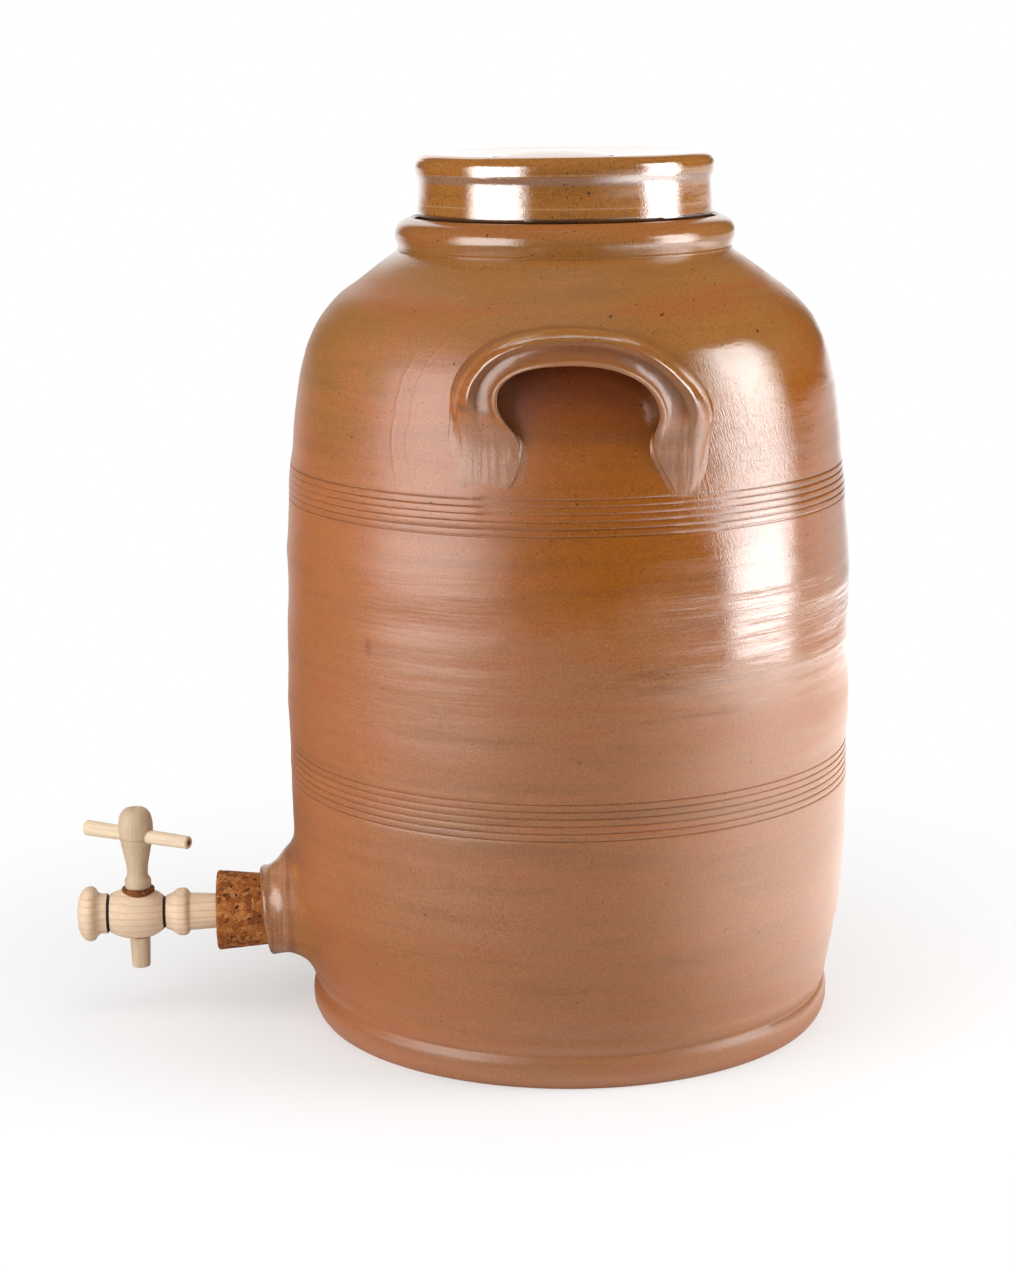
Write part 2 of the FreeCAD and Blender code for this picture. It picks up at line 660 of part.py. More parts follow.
def make_lid_knob():
    """Low button with an undercut edge to lift the lid by."""
    body = new_body("lid_knob")
    turned_solid(body, "lid_knob_outline", [
        ("0", "lid_dish_height"),
        ("knob_root_radius", "lid_dish_height"),
        ("knob_radius", "knob_low_height"),
        ("knob_edge_radius", "knob_edge_height"),
        ("knob_crown_radius", "knob_crown_height"),
        ("0", "knob_crown_height"),
    ], {1: ("knob_neck_bend", -1), 2: ("knob_side_bend", 1), 3: ("knob_crown_bend", 1)}, "V_Axis")
    return body


# ---------------------------------------------------------------- tap

def at_key_axis(body, rise="0"):
    """Put a body's own origin where the key's axis crosses the barrel's axis."""
    body.setExpression("Placement.Base.x", bound("-key_reach"))
    body.setExpression("Placement.Base.z", bound(f"tap_height + {rise}"))


SLEEVE_HOLE = [
    ("0", "-bulb_radius - cutter_margin"),
    ("0", "sleeve_top + cutter_margin"),
    ("sleeve_top_radius", "sleeve_top + cutter_margin"),
    ("sleeve_top_radius", "sleeve_top"),
    ("sleeve_base_radius", "-sleeve_base"),
    ("sleeve_base_radius", "-bulb_radius - cutter_margin"),
]


def make_barrel():
    """Turned barrel: end knob, burnt ring, bulb, burnt ring, bead and tapered stem, bored."""
    body = new_body("tap_barrel")
    face = "key_reach - bung_outer_reach"
    turned_solid(body, "barrel_outline", [
        ("-end_face", "0"),
        ("-end_face", "end_face_radius"),
        ("-end_knob_place", "end_knob_radius"),
        ("-end_knob_back", "end_neck_radius"),
        ("-end_ring_outer", "end_neck_radius"),
        ("-(end_ring_outer + end_ring_inner) / 2", "end_ring_radius"),
        ("-end_ring_inner", "bulb_end_radius"),
        ("0", "bulb_radius"),
        ("bulb_right_place", "bulb_right_radius"),
        ("stem_ring_place", "stem_ring_radius"),
        ("bead_start", "bead_start_radius"),
        ("bead_place", "bead_radius"),
        ("bead_end", "stem_radius"),
        (face, "stem_face_radius"),
        ("stem_end", "stem_end_radius"),
        ("stem_end", "0"),
    ], {
        1: ("end_knob_bend", -1), 2: ("end_knob_back_bend", 1), 6: ("bulb_left_bend", -1),
        7: ("bulb_right_bend", -1), 10: ("bead_rise_bend", -1), 11: ("bead_fall_bend", -1),
    }, "H_Axis")
    turned_cut(body, "key_hole", SLEEVE_HOLE, {}, "V_Axis")
    turned_cut(body, "water_way", [
        ("0", "0"),
        ("stem_end + cutter_margin", "0"),
        ("stem_end + cutter_margin", "stem_bore_radius"),
        ("0", "stem_bore_radius"),
    ], {}, "H_Axis")
    at_key_axis(body)
    return body


def shank_radius_at(level, gap="0"):
    """Radius of the key's shank between the ends of the sleeve."""
    slope = "(shank_top_radius - shank_base_radius) / (sleeve_top + sleeve_base)"
    return f"shank_base_radius + (({level}) + sleeve_base) * {slope} + {gap}"


def make_sleeve():
    """Cork liner of the key hole, with a port towards the stem's water way."""
    body = new_body("key_cork_sleeve")
    turned_solid(body, "sleeve_outline", [
        (shank_radius_at("-sleeve_base", "fit_gap"), "-sleeve_base"),
        ("sleeve_base_radius", "-sleeve_base"),
        ("sleeve_top_radius", "sleeve_top"),
        (shank_radius_at("sleeve_top", "fit_gap"), "sleeve_top"),
    ], {}, "V_Axis")
    turned_cut(body, "sleeve_port", [
        ("0", "0"),
        ("sleeve_top_radius + cutter_margin", "0"),
        ("sleeve_top_radius + cutter_margin", "port_radius"),
        ("0", "port_radius"),
    ], {}, "H_Axis")
    at_key_axis(body)
    return body


def make_key():
    """Turned key that is also the spout: bored up from below, with a side port."""
    body = new_body("tap_key")
    turned_solid(body, "key_outline", [
        ("key_bore_radius", "-spout_end"),
        ("spout_radius - spout_round", "-spout_end"),
        ("spout_radius", "-spout_end + spout_round"),
        ("shank_base_radius", "-sleeve_base"),
        (shank_radius_at("key_collar_low"), "key_collar_low"),
        ("key_collar_radius", "key_collar_low"),
        ("key_waist_start_radius", "key_collar_top"),
        ("key_waist_radius", "key_waist_height"),
        ("key_flank_radius", "key_flank_height"),
        ("key_flank_radius - key_groove_depth", "(key_flank_height + key_head_low) / 2"),
        ("key_flank_radius", "key_head_low"),
        ("key_head_radius", "key_head_place"),
        ("key_top_radius", "key_top"),
        ("key_dimple_radius", "key_top"),
        ("0", "key_top - key_dimple_depth"),
        ("0", "key_bore_top"),
        ("key_bore_radius", "key_bore_top - key_bore_radius / 2"),
    ], {
        1: ("spout_round", 1), 5: ("key_collar_bend", 1), 7: ("key_flank_bend", -1),
        10: ("key_head_low_bend", 1), 11: ("key_head_bend", 1),
    }, "V_Axis")
    bar_hole = new_sketch(body, "bar_hole", "XZ_Plane", shift="crossbar_rise")
    draw_outline(bar_hole, [
        ("-crossbar_left", "0"),
        ("crossbar_right", "0"),
        ("crossbar_right", "crossbar_right_radius"),
        ("-crossbar_left", "crossbar_left_radius"),
    ])
    removed(body, lambda: revolve(body, bar_hole, "H_Axis", "PartDesign::Groove"))
    port = new_sketch(body, "key_port", "XZ_Plane")
    draw_circle(port, ("0", "0"), "port_radius")
    pocket_to(body, port, "shank_top_radius + cutter_margin", reverse=True)
    at_key_axis(body)
    body.setExpression("Placement.Rotation.Angle", bound("key_turn_at_rest"))
    return body


def make_crossbar():
    """Tapered dowel through the head of the key."""
    body = new_body("key_crossbar")
    slope = "((crossbar_left_radius - crossbar_right_radius) / (crossbar_left + crossbar_right))"
    turned_solid(body, "crossbar_outline", [
        ("-crossbar_left", "0"),
        ("-crossbar_left", "crossbar_left_radius - crossbar_edge"),
        ("-crossbar_left + crossbar_edge", f"crossbar_left_radius - crossbar_edge * {slope}"),
        ("crossbar_right - crossbar_edge", f"crossbar_right_radius + crossbar_edge * {slope}"),
        ("crossbar_right", "crossbar_right_radius - crossbar_edge"),
        ("crossbar_right", "0"),
    ], {}, "H_Axis")
    at_key_axis(body, "crossbar_rise")
    body.setExpression("Placement.Rotation.Angle", bound("key_turn_at_rest"))
    return body


# ---------------------------------------------------------------- build and export

def check_and_export(pieces):
    """Stop on any failed object or bad shape, then write one STEP file a piece."""
    doc.recompute()
    for item in doc.Objects:
        if "Invalid" in item.State or "Error" in item.State:
            raise RuntimeError(f"{item.Name} failed: {item.State}")
    for piece in pieces:
        shape = piece.Shape
        if shape.isNull() or not shape.isValid() or len(shape.Solids) != 1:
            raise RuntimeError(f"{piece.Label} has a bad shape: {len(shape.Solids)} solids")
    os.makedirs("parts", exist_ok=True)
    for piece in pieces:
        piece.Shape.exportStep(f"parts/{piece.Label}.step")
        box = piece.Shape.BoundBox
        print(f"{piece.Label}: volume {piece.Shape.Volume / 1000:.2f} cm3,"
              f" X {box.XMin:.2f} {box.XMax:.2f}, Y {box.YMin:.2f} {box.YMax:.2f},"
              f" Z {box.ZMin:.2f} {box.ZMax:.2f}")


fill_sheet()
check_and_export([
    make_jar(),
    make_lug("handle_front", 0),
    make_lug("handle_back", 180),
    make_boss(),
    make_lid(),
    make_lid_knob(),
    make_bung(),
    make_barrel(),
    make_sleeve(),
    make_key(),
    make_crossbar(),
])
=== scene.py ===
import math
from collections import namedtuple
from types import SimpleNamespace

import bpy
from mathutils import Matrix, Vector


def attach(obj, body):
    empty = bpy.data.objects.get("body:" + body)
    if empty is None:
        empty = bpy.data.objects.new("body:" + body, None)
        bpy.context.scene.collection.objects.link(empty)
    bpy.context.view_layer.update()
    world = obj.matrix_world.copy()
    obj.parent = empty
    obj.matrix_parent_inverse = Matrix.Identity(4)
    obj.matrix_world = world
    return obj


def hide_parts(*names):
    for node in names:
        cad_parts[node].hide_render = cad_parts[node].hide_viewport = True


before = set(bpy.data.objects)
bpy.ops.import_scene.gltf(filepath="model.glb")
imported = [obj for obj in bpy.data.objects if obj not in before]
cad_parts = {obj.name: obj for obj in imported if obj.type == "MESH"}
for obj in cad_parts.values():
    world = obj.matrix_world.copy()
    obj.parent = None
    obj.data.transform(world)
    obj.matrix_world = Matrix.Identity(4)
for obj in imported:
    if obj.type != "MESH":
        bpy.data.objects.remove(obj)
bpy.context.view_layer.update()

# Stoneware water pot: thrown jar with comb lines, lug handles, lid, boss, cork bung and wooden tap.
# Sizes are in millimetres and angles in degrees, unless a comment says otherwise; MM turns a size into
# metres. The origin is the middle of the foot, Z is the jar's axis, the tap points along -X and the
# front lug is at -Y.
MM = 0.001
FULL_TURN = 2 * math.pi
SAME_PLACE = 0.01 * MM

# ---------------------------------------------------------------- sizes

# The jar's outline: radius and height of each corner. Bends, here and below, are given for the side that
# starts at the corner with this number: radius of the arc, and +1 to turn left or -1 to turn right.
WALL = [(114.6, 0), (116.7, 6.5), (116.3, 12.2), (115, 13.4), (114.9, 14.3), (116, 16.6),
        (116.5, 19.6), (116.55, 22), (124.15, 80), (124.6, 165),
        (117.9, 276.35), (114.3, 295.1), (94.8, 323.9), (72.3, 340.6)]
WALL_BENDS = {0: (8.25, 1), 1: (12, 1), 7: (253.3, 1), 9: (928.7, 1), 10: (137.2, 1), 11: (52.7, 1)}
COLLAR = [(72.3, 340.6), (72.6, 341.3), (71.9, 342), (73, 345), (73.5, 347.2), (71.2, 352.6),
          (66.4, 354.8), (65.4, 353.8), (65.4, 347), (55, 347), (55, 335.5)]
COLLAR_BENDS = {3: (7.5, 1), 4: (7.2, 1), 5: (14, 1)}
INSIDE = [(55, 335.5), (86, 317), (108.9, 276.35), (115.6, 165), (115.15, 80),
          (107.2, 26), (93.2, 12), (0, 12)]
INSIDE_BENDS = {1: (46, -1), 2: (928.7, -1), 4: (253.3, -1), 5: (14, -1)}

COMB_LINES = 6
COMB_BANDS = {"low": (110.5, 3.08), "high": (235.3, 2.96)}
# One groove of the comb from below upwards: place in mm from its middle, and height above the wall.
COMB_GROOVE = [(-1.5, 0.06), (-0.8, 0.05), (-0.40, -0.02), (-0.12, -0.38), (0.12, -0.38),
               (0.40, -0.02), (0.8, 0.05), (1.5, 0.06)]

# Where the comb's lines are worn or wiped away: from and to in x and in z, and rounds of smoothing.
COMB_WORN = [(-43, -12, 242.5, 253.5, 14), (-12, 62, 240.5, 253.5, 2), (36, 52, 234, 253.5, 8),
             (-43, -12, 234, 242.5, 2)]

# The outside that throwing left uneven: its lowest and highest place and its least radius.
UNEVEN_LOW = 4
UNEVEN_HIGH = 350
UNEVEN_RADIUS = 70
COMBED_RADIUS = 117.5

TAP_HEIGHT = 44.3
TAP_BORE = [(0, -130), (14.9, -130), (14.9, -100), (0, -100)]
KEY_REACH = 195.4
KEY_TURN = -30.0
CROSSBAR_RISE = 36.7

CAMERA_AZIMUTH = -4.0
CAMERA_DISTANCE = 1143.6
CAMERA_HEIGHT = 422.1
CAMERA_PITCH = 12.468
CAMERA_YAW = 1.329
CAMERA_ROLL = 0.632
FOCAL_PIXELS = 2620.5
IMAGE_HEIGHT = 1270
SENSOR = 36.0
CLIP_METRES = (0.05, 200)


# ---------------------------------------------------------------- modelling with operators

def nothing():
    """Leave edit mode and select no object."""
    if bpy.context.mode != "OBJECT":
        bpy.ops.object.mode_set(mode="OBJECT")
    bpy.ops.object.select_all(action="DESELECT")


def only(piece):
    """Leave edit mode and make the piece the one selected and active object."""
    nothing()
    piece.select_set(True)
    bpy.context.view_layer.objects.active = piece


def edit(piece, wanted=None):
    """Enter edit mode with everything selected, or the vertices whose place in mm passes the test."""
    only(piece)
    bpy.ops.object.mode_set(mode="EDIT")
    bpy.ops.mesh.select_mode(type="VERT")
    bpy.ops.mesh.select_all(action="DESELECT" if wanted else "SELECT")
    if wanted:
        bpy.ops.object.mode_set(mode="OBJECT")
        for vertex in piece.data.vertices:
            vertex.select = wanted(vertex.co / MM)
        bpy.ops.object.mode_set(mode="EDIT")


def face_outwards(piece):
    """Turn every face outwards and leave edit mode."""
    edit(piece)
    bpy.ops.mesh.normals_make_consistent(inside=False)
    only(piece)


def bent_line(corners, bends, step):
    """Points along the corners, no farther apart than the step; a side with a bend becomes an arc."""
    line = [corners[0]]
    for number, (start, end) in enumerate(zip(corners, corners[1:])):
        chord = math.dist(start, end)
        count = max(1, math.ceil(chord / step))
        radius, turn = bends.get(number, (None, 0))
        if not turn:
            line += [tuple(a + (b - a) * k / count for a, b in zip(start, end))
                     for k in range(1, count + 1)]
            continue
        reach = math.sqrt(max(radius ** 2 - chord ** 2 / 4, 0.0)) * turn / chord
        centre = ((start[0] + end[0]) / 2 - (end[1] - start[1]) * reach,
                  (start[1] + end[1]) / 2 + (end[0] - start[0]) * reach)
        sweep = 2 * math.asin(min(1.0, chord / 2 / radius)) * turn
        first = math.atan2(start[1] - centre[1], start[0] - centre[0])
        line += [(centre[0] + radius * math.cos(first + sweep * k / count),
                  centre[1] + radius * math.sin(first + sweep * k / count))
                 for k in range(1, count + 1)]
    return line


def draw_line(name, points, closed=False):
    """Edges drawn point by point, in mm: one corner is placed and then extruded along."""
    nothing()
    bpy.ops.mesh.primitive_plane_add(size=MM, location=Vector(points[0]) * MM)
    piece = bpy.context.object
    piece.name = piece.data.name = name
    edit(piece)
    bpy.ops.mesh.merge(type="CENTER")
    for before, after in zip(points, points[1:]):
        step = (Vector(after) - Vector(before)) * MM
        bpy.ops.mesh.extrude_region_move(TRANSFORM_OT_translate={"value": step})
    if closed:
        bpy.ops.mesh.select_all(action="SELECT")
        bpy.ops.mesh.edge_face_add()
        bpy.ops.mesh.delete(type="ONLY_FACE")
    only(piece)
    bpy.ops.object.transform_apply(location=True, rotation=True, scale=True)
    return piece


def turned(name, outline, steps, centre=(0.0, 0.0, 0.0), lying=False):
    """Spin an outline of (radius, place along the axis) round the upright or the lying axis."""
    middle = Vector(centre)
    points = [middle + Vector((along, 0, radius) if lying else (radius, 0, along))
              for radius, along in outline]
    piece = draw_line(name, points)
    edit(piece)
    axis = (1, 0, 0) if lying else (0, 0, 1)
    bpy.ops.mesh.spin(steps=steps, angle=FULL_TURN, center=middle * MM, axis=axis)
    bpy.ops.mesh.select_all(action="SELECT")
    bpy.ops.mesh.remove_doubles(threshold=SAME_PLACE)
    face_outwards(piece)
    return piece


def loft(name, rings, tube=False):
    """Rings of equally many points, each bridged to the one before.

    The first and the last get a face each, or in a tube are bridged to one another.
    """
    count = len(rings[0])
    piece = draw_line(name, rings[0], closed=True)

    def take(*firsts):
        only(piece)
        for part in (piece.data.polygons, piece.data.edges):
            part.foreach_set("select", [False] * len(part))
        for vertex in piece.data.vertices:
            vertex.select = any(first <= vertex.index < first + count for first in firsts)
        bpy.ops.object.mode_set(mode="EDIT")
        bpy.ops.mesh.select_mode(type="VERT")
        bpy.ops.mesh.select_mode(type="EDGE")

    for number, ring in enumerate(rings[1:]):
        following = draw_line("following_ring", ring, closed=True)
        only(piece)
        following.select_set(True)
        bpy.ops.object.join()
        take(number * count, (number + 1) * count)
        bpy.ops.mesh.bridge_edge_loops()
    ends = (0, (len(rings) - 1) * count)
    if tube:
        take(*ends)
        bpy.ops.mesh.bridge_edge_loops()
    else:
        for first in ends:
            take(first)
            bpy.ops.mesh.edge_face_add()
    face_outwards(piece)
    return piece


def apply_modifier(piece, kind, **settings):
    """Give the piece a modifier with these settings and apply it."""
    only(piece)
    modifier = piece.modifiers.new(kind.lower(), kind)
    for name, value in settings.items():
        setattr(modifier, name, value)
    bpy.ops.object.modifier_apply(modifier=modifier.name)


def uneven(piece, depth, grain, group=""):
    """Push the surface in and out by up to half the depth, in lumps of the grain's size in x, y, z."""
    guide = bpy.data.objects.new("grain_guide", None)
    bpy.context.scene.collection.objects.link(guide)
    guide.scale = Vector(grain) * MM
    bpy.context.view_layer.update()
    texture = bpy.data.textures.new("grain", "CLOUDS")
    texture.noise_scale = 1.0
    apply_modifier(piece, "DISPLACE", texture=texture, texture_coords="OBJECT",
                   texture_coords_object=guide, strength=depth * MM, mid_level=0.5,
                   vertex_group=group)
    bpy.data.objects.remove(guide)
    bpy.data.textures.remove(texture)


def cut_out(piece, cutter):
    """Take the cutter's volume out of the piece and throw the cutter away."""
    apply_modifier(piece, "BOOLEAN", object=cutter, operation="DIFFERENCE", solver="EXACT")
    bpy.data.objects.remove(cutter)


def smooth(piece, angle=40):
    """Smooth shading, with edges sharper than the angle kept."""
    only(piece)
    bpy.ops.object.shade_smooth_by_angle(angle=math.radians(angle))


def place_on(piece, body, slot, finish, *nodes):
    """Ride on the body, take the finish and stand for the CAD nodes; the slot is not used."""
    piece.data.materials.clear()
    piece.data.materials.append(finish)
    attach(piece, body)
    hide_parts(*nodes)


# ---------------------------------------------------------------- material tools

# Every colour below is linear red, green and blue.
WHITE = (1.0, 1.0, 1.0, 1.0)
# Where a Mix node has its two colours and its mixed colour.
MIXED_COLOURS = (6, 7)
MIX_RESULT = 2


def new_finish(name):
    """A new material, its node tree and its shader."""
    finish = bpy.data.materials.new(name)
    finish.use_nodes = True
    return finish, finish.node_tree, finish.node_tree.nodes["Principled BSDF"]


def is_link(value):
    """Whether the value is another node's output."""
    return isinstance(value, bpy.types.NodeSocket)


def feed(node, inputs):
    """Give each of these inputs its value or its link."""
    for socket, value in inputs.items():
        if is_link(value):
            node.id_data.links.new(value, node.inputs[socket])
        else:
            node.inputs[socket].default_value = value


def add(kind, inputs, tree=None, **settings):
    """A new shader node of this kind; without a tree it goes where its first link comes from."""
    tree = tree or next(value.id_data for value in inputs.values() if is_link(value))
    node = tree.nodes.new("ShaderNode" + kind)
    for name, value in settings.items():
        setattr(node, name, value)
    feed(node, inputs)
    return node


def calc(operation, *values, clamp=False):
    """A calculation with numbers or links."""
    inputs = dict(enumerate(values))
    return add("Math", inputs, operation=operation, use_clamp=clamp).outputs[0]


def measure(operation, *vectors):
    """A calculation with vectors that gives one number."""
    node = add("VectorMath", dict(enumerate(vectors)), operation=operation)
    return node.outputs["Value"]


def distance_to(place, point):
    """How far the place is from a point, which is given in mm."""
    return measure("DISTANCE", place, Vector(point) * MM)


def times(product, *factors):
    """All of these multiplied."""
    for factor in factors:
        product = calc("MULTIPLY", product, factor)
    return product


def plus(value, part, amount):
    """The value and the part, the part taken by the amount."""
    return calc("ADD", value, times(part, amount))


def swayed(value, wave, amount):
    """The value moved up and down by a noise, by up to about half the amount."""
    return plus(value, calc("SUBTRACT", wave, 0.5), amount)


def off(value, middle):
    """How far the value is from the middle, either way."""
    return calc("ABSOLUTE", calc("SUBTRACT", value, middle))


def between(value, low, high, first=0.0, last=1.0):
    """A smooth step from first to last while the value goes from low to high."""
    return add("MapRange", {
        "Value": value, "From Min": low, "From Max": high, "To Min": first, "To Max": last,
    }, interpolation_type="SMOOTHSTEP").outputs["Result"]


def band(value, start, full, fade, end):
    """One from full to fade, and nothing before the start and after the end."""
    return times(between(value, start, full), between(value, end, fade))


def between_mm(length, low, high, first=0.0, last=1.0):
    """The smooth step of a length, with its limits in mm."""
    return between(length, low * MM, high * MM, first, last)


def band_mm(length, *limits):
    """The band of a length, with its limits in mm."""
    return band(length, *(limit * MM for limit in limits))


def painted(colour, *coats, kind="MIX"):
    """The colour under one coat after another, each given as (share, colour)."""
    for share, coat in coats:
        inputs = {"Factor": share, **{
            socket: value if is_link(value) else (*value, 1.0)
            for socket, value in zip(MIXED_COLOURS, (colour, coat))}}
        colour = add("Mix", inputs, data_type="RGBA", blend_type=kind).outputs[MIX_RESULT]
    return colour


def shaded(colour, shade):
    """The colour made darker or lighter by the shade."""
    tint = add("CombineColor", dict.fromkeys(range(3), shade)).outputs[0]
    return painted(colour, (1.0, tint), kind="MULTIPLY")


def here(tree):
    """The place on the object, in its own coordinates, in metres."""
    return add("TexCoord", {}, tree).outputs["Object"]


def apart(place):
    """The x, y and z of a place."""
    parts = add("SeparateXYZ", {0: place}).outputs
    return parts[0], parts[1], parts[2]


def noise(place, size, detail=2.0, roughness=0.5, distortion=0.0, stretch=None):
    """Noise with features of about this size in mm, drawn out by the stretch of each axis."""
    if stretch:
        scale = [1.0 / part for part in stretch]
        place = add("Mapping", {"Vector": place, "Scale": scale}).outputs[0]
    return add("TexNoise", {
        "Vector": place, "Scale": 1 / (size * MM), "Detail": detail,
        "Roughness": roughness, "Distortion": distortion,
    }).outputs[0]


def bumps(layers):
    """Bump nodes one on the other, from (height, distance in mm, strength)."""
    normal = None
    for height, distance, strength in layers:
        inputs = {"Height": height, "Distance": distance * MM, "Strength": strength}
        if normal:
            inputs["Normal"] = normal
        normal = add("Bump", inputs).outputs[0]
    return normal


def cells(place, spacing, **settings):
    """The cells of a net with this spacing in mm."""
    inputs = {"Vector": place, "Scale": 1 / (spacing * MM)}
    return add("TexVoronoi", inputs, **settings).outputs


def specks(place, spacing, size, share):
    """Round specks in a share of the cells of a net with this spacing, both sizes in mm."""
    net = cells(place, spacing)
    chance = add("SeparateColor", {0: net["Color"]}).outputs
    radius = times(chance[1], size / spacing)
    near = calc("SUBTRACT", radius, net["Distance"])
    return times(between(near, 0.0, 0.04), calc("LESS_THAN", chance[0], share))


# ---------------------------------------------------------------- stoneware

TAN = (0.340, 0.128, 0.038)
ORANGE = (0.385, 0.124, 0.036)
BROWN = (0.310, 0.090, 0.006)
OCHRE = (0.320, 0.128, 0.028)
RUST = (0.300, 0.082, 0.022)
BARE = (0.340, 0.175, 0.105)
IRON = (0.028, 0.016, 0.012)
POOLED = (0.200, 0.062, 0.010)
RED_SPOT = (0.260, 0.050, 0.014)
POCKET_SHADE = (0.170, 0.024, 0.002)
COMB_SHADE = (0.160, 0.050, 0.016)
PALE_LINE = (0.520, 0.300, 0.150)
LID_LIGHT = (0.420, 0.158, 0.026)
LID_DARK = (0.270, 0.090, 0.012)
STRAP_SHADE = (0.230, 0.074, 0.016)
BOSS_DARK = (0.280, 0.115, 0.050)
BOSS_LIGHT = (0.400, 0.185, 0.090)
BOSS_ROOT = (0.230, 0.062, 0.028)

# How rough the thin and the thick glaze is, how strong the thick glaze's clear coat and how specked the
# clay, then the refraction of the glaze and the roughness and refraction of its coat.
Glaze = namedtuple("Glaze", "satin gloss coat specked refraction coat_roughness coat_refraction")
GLAZES = {
    "wall": Glaze(0.40, 0.10, 0.90, 0.45, 1.8, 0.06, 2.0),
    "lug": Glaze(0.42, 0.12, 1.00, 0.45, 1.8, 0.06, 2.0),
    "boss": Glaze(0.36, 0.26, 0.35, 0.25, 1.5, 0.06, 2.0),
    "lid": Glaze(0.10, 0.09, 0.90, 0.75, 1.8, 0.08, 3.2),
    "knob": Glaze(0.08, 0.08, 0.90, 0.30, 1.8, 0.05, 3.2),
}
# The direction in which the glaze lies thickest, and the distance from the axis that counts as one.
GLAZED_SIDE = (0.766, -0.643, 0.0)
GLAZED_REACH = 122.0

RED_SPOT_PLACE = (-88.5, -87.3, 185)
SPOT_FLATNESS = 0.5
# The middle in x of the painted shade under the lug's arch.
POCKET_MIDDLE = -3.0
LID_LINE_HEIGHTS = (373.6, 361.0)
# Where the wall is scraped, and the slant of the scratches in radians.
SCRAPED_PLACE = (62, -105, 262)
SCRAPED_SLANT = 0.35
# Two lines dragged round the lug's left foot: their middle in x and z, and radius and width of each.
DRAG_MIDDLE = (-10, 270)
DRAG_LINES = [(59, 0.9), (65.5, 1.3)]


def clay_places(tree):
    """The place on the pot, how far it is to the glazed side and upwards, and three noises."""
    place = here(tree)
    x, y, z = apart(place)
    drift = calc("SUBTRACT", noise(place, 70, detail=4, roughness=0.55), 0.5)
    spread = measure("DOT_PRODUCT", place, GLAZED_SIDE)
    return SimpleNamespace(
        place=place, x=x, y=y, z=z, drift=drift,
        side=plus(calc("DIVIDE", spread, GLAZED_REACH * MM), drift, 0.9),
        height=plus(z, drift, 160 * MM),
        broad=noise(place, 9, detail=4, roughness=0.62, distortion=0.3, stretch=(13, 13, 1)),
        fine=noise(place, 0.9, detail=3, roughness=0.7))


def thin_glaze_and_shadow(at):
    """How thin the glaze lies on a lug, one where the clay is bare; below nothing it marks a crack with
    painted shadow.
    """
    tree = at.place.id_data
    return add("Attribute", {}, tree, attribute_name="thin_glaze_and_shadow").outputs["Fac"]


def clay_colour(at):
    """Orange, tan low on the glazed side, brown high on it and ochre on the shoulder, with streaks."""
    warm = between(plus(at.side, at.drift, 1.2), 0.35, -0.45)
    facing = between(at.side, 0.10, 0.62)
    upper = between_mm(at.height, 140, 250)
    brown = times(facing, between_mm(at.height, 168, 215))
    shoulder = between_mm(at.height, 275, 315)
    streaks = between(at.broad, 0.50, 0.66)
    pooled = times(between(at.broad, 0.44, 0.34), facing, band_mm(at.z, 140, 160, 190, 215))
    return painted(TAN, (warm, ORANGE), (times(upper, 0.8), ORANGE), (brown, BROWN),
                   (shoulder, OCHRE), (times(streaks, 0.55), RUST), (times(pooled, 0.5), POOLED))


def wall_colour(at):
    """The clay with a red spot, painted shade under the lug's arch and in the grooves of the comb's lines.
    """
    squeezed = add("VectorMath", {0: at.place, 1: (1.0, 1.0, SPOT_FLATNESS)},
                   operation="MULTIPLY").outputs[0]
    middle = Vector(RED_SPOT_PLACE) * Vector((1.0, 1.0, SPOT_FLATNESS))
    reach = plus(distance_to(squeezed, middle), at.fine, 1.2 * MM)
    spot = between_mm(reach, 3.2, 1.4, 0.0, 0.6)
    # Painted shade: the wall under the lug's arch is darkened where the strap shades it.
    pocket_shadow = times(between_mm(off(at.x, POCKET_MIDDLE * MM), 34, 24),
                   band_mm(at.z, 262, 300, 305, 307.5))
    colour = painted(clay_colour(at), (spot, RED_SPOT), (times(pocket_shadow, 0.9), POCKET_SHADE))
    for start, pitch in COMB_BANDS.values():
        row = calc("SUBTRACT", calc("DIVIDE", at.z, pitch * MM), start / pitch)
        inside = times(calc("GREATER_THAN", row, -0.4), calc("LESS_THAN", row, COMB_LINES - 0.6))
        phase = calc("SUBTRACT", calc("FRACT", calc("ADD", row, 0.5)), 0.5)
        # Painted shade: each groove of the comb is darkened.
        groove = between(calc("ABSOLUTE", phase), 0.13, 0.03, 0.0, 0.28)
        lip = between(off(phase, 0.17), 0.08, 0.02, 0.0, 0.45)
        colour = painted(colour, (times(groove, inside), COMB_SHADE), (times(lip, inside), BARE))
    return colour


def lug_colour(at):
    """The clay, bare where the glaze lies thin, with painted shade in the strap's hollow and in its
    cracks.
    """
    bare = thin_glaze_and_shadow(at)
    # Painted shade: the strap's hollow faces down and is darkened as if in shadow.
    hollow = band(bare, 0.04, 0.16, 0.25, 0.45)
    patchy = noise(at.place, 5, detail=3, stretch=(1, 1, 3))
    thinned = times(between(bare, 0.2, 0.9), between(patchy, 0.25, 0.6, 0.45, 0.95))
    # Painted shadow: the gaps along the strap's free edges are painted black.
    crack_shadow = between(bare, -0.25, -0.7)
    return painted(clay_colour(at), (times(hollow, 0.85), STRAP_SHADE),
                   (times(thinned, 0.6), BARE), (crack_shadow, IRON))


def boss_colour(at):
    """Streaks round the spout, a redder root and the wall's tan at its foot."""
    streaks = noise(at.place, 1.6, detail=3, stretch=(1, 14, 14))
    root = band_mm(at.x, -129.2, -126.2, -125.5, -123.2)
    foot = between_mm(at.x, -127.5, -122.0)
    return painted(BOSS_DARK, (between(streaks, 0.3, 0.7), BOSS_LIGHT),
                   (times(root, 0.55), BOSS_ROOT), (foot, TAN))


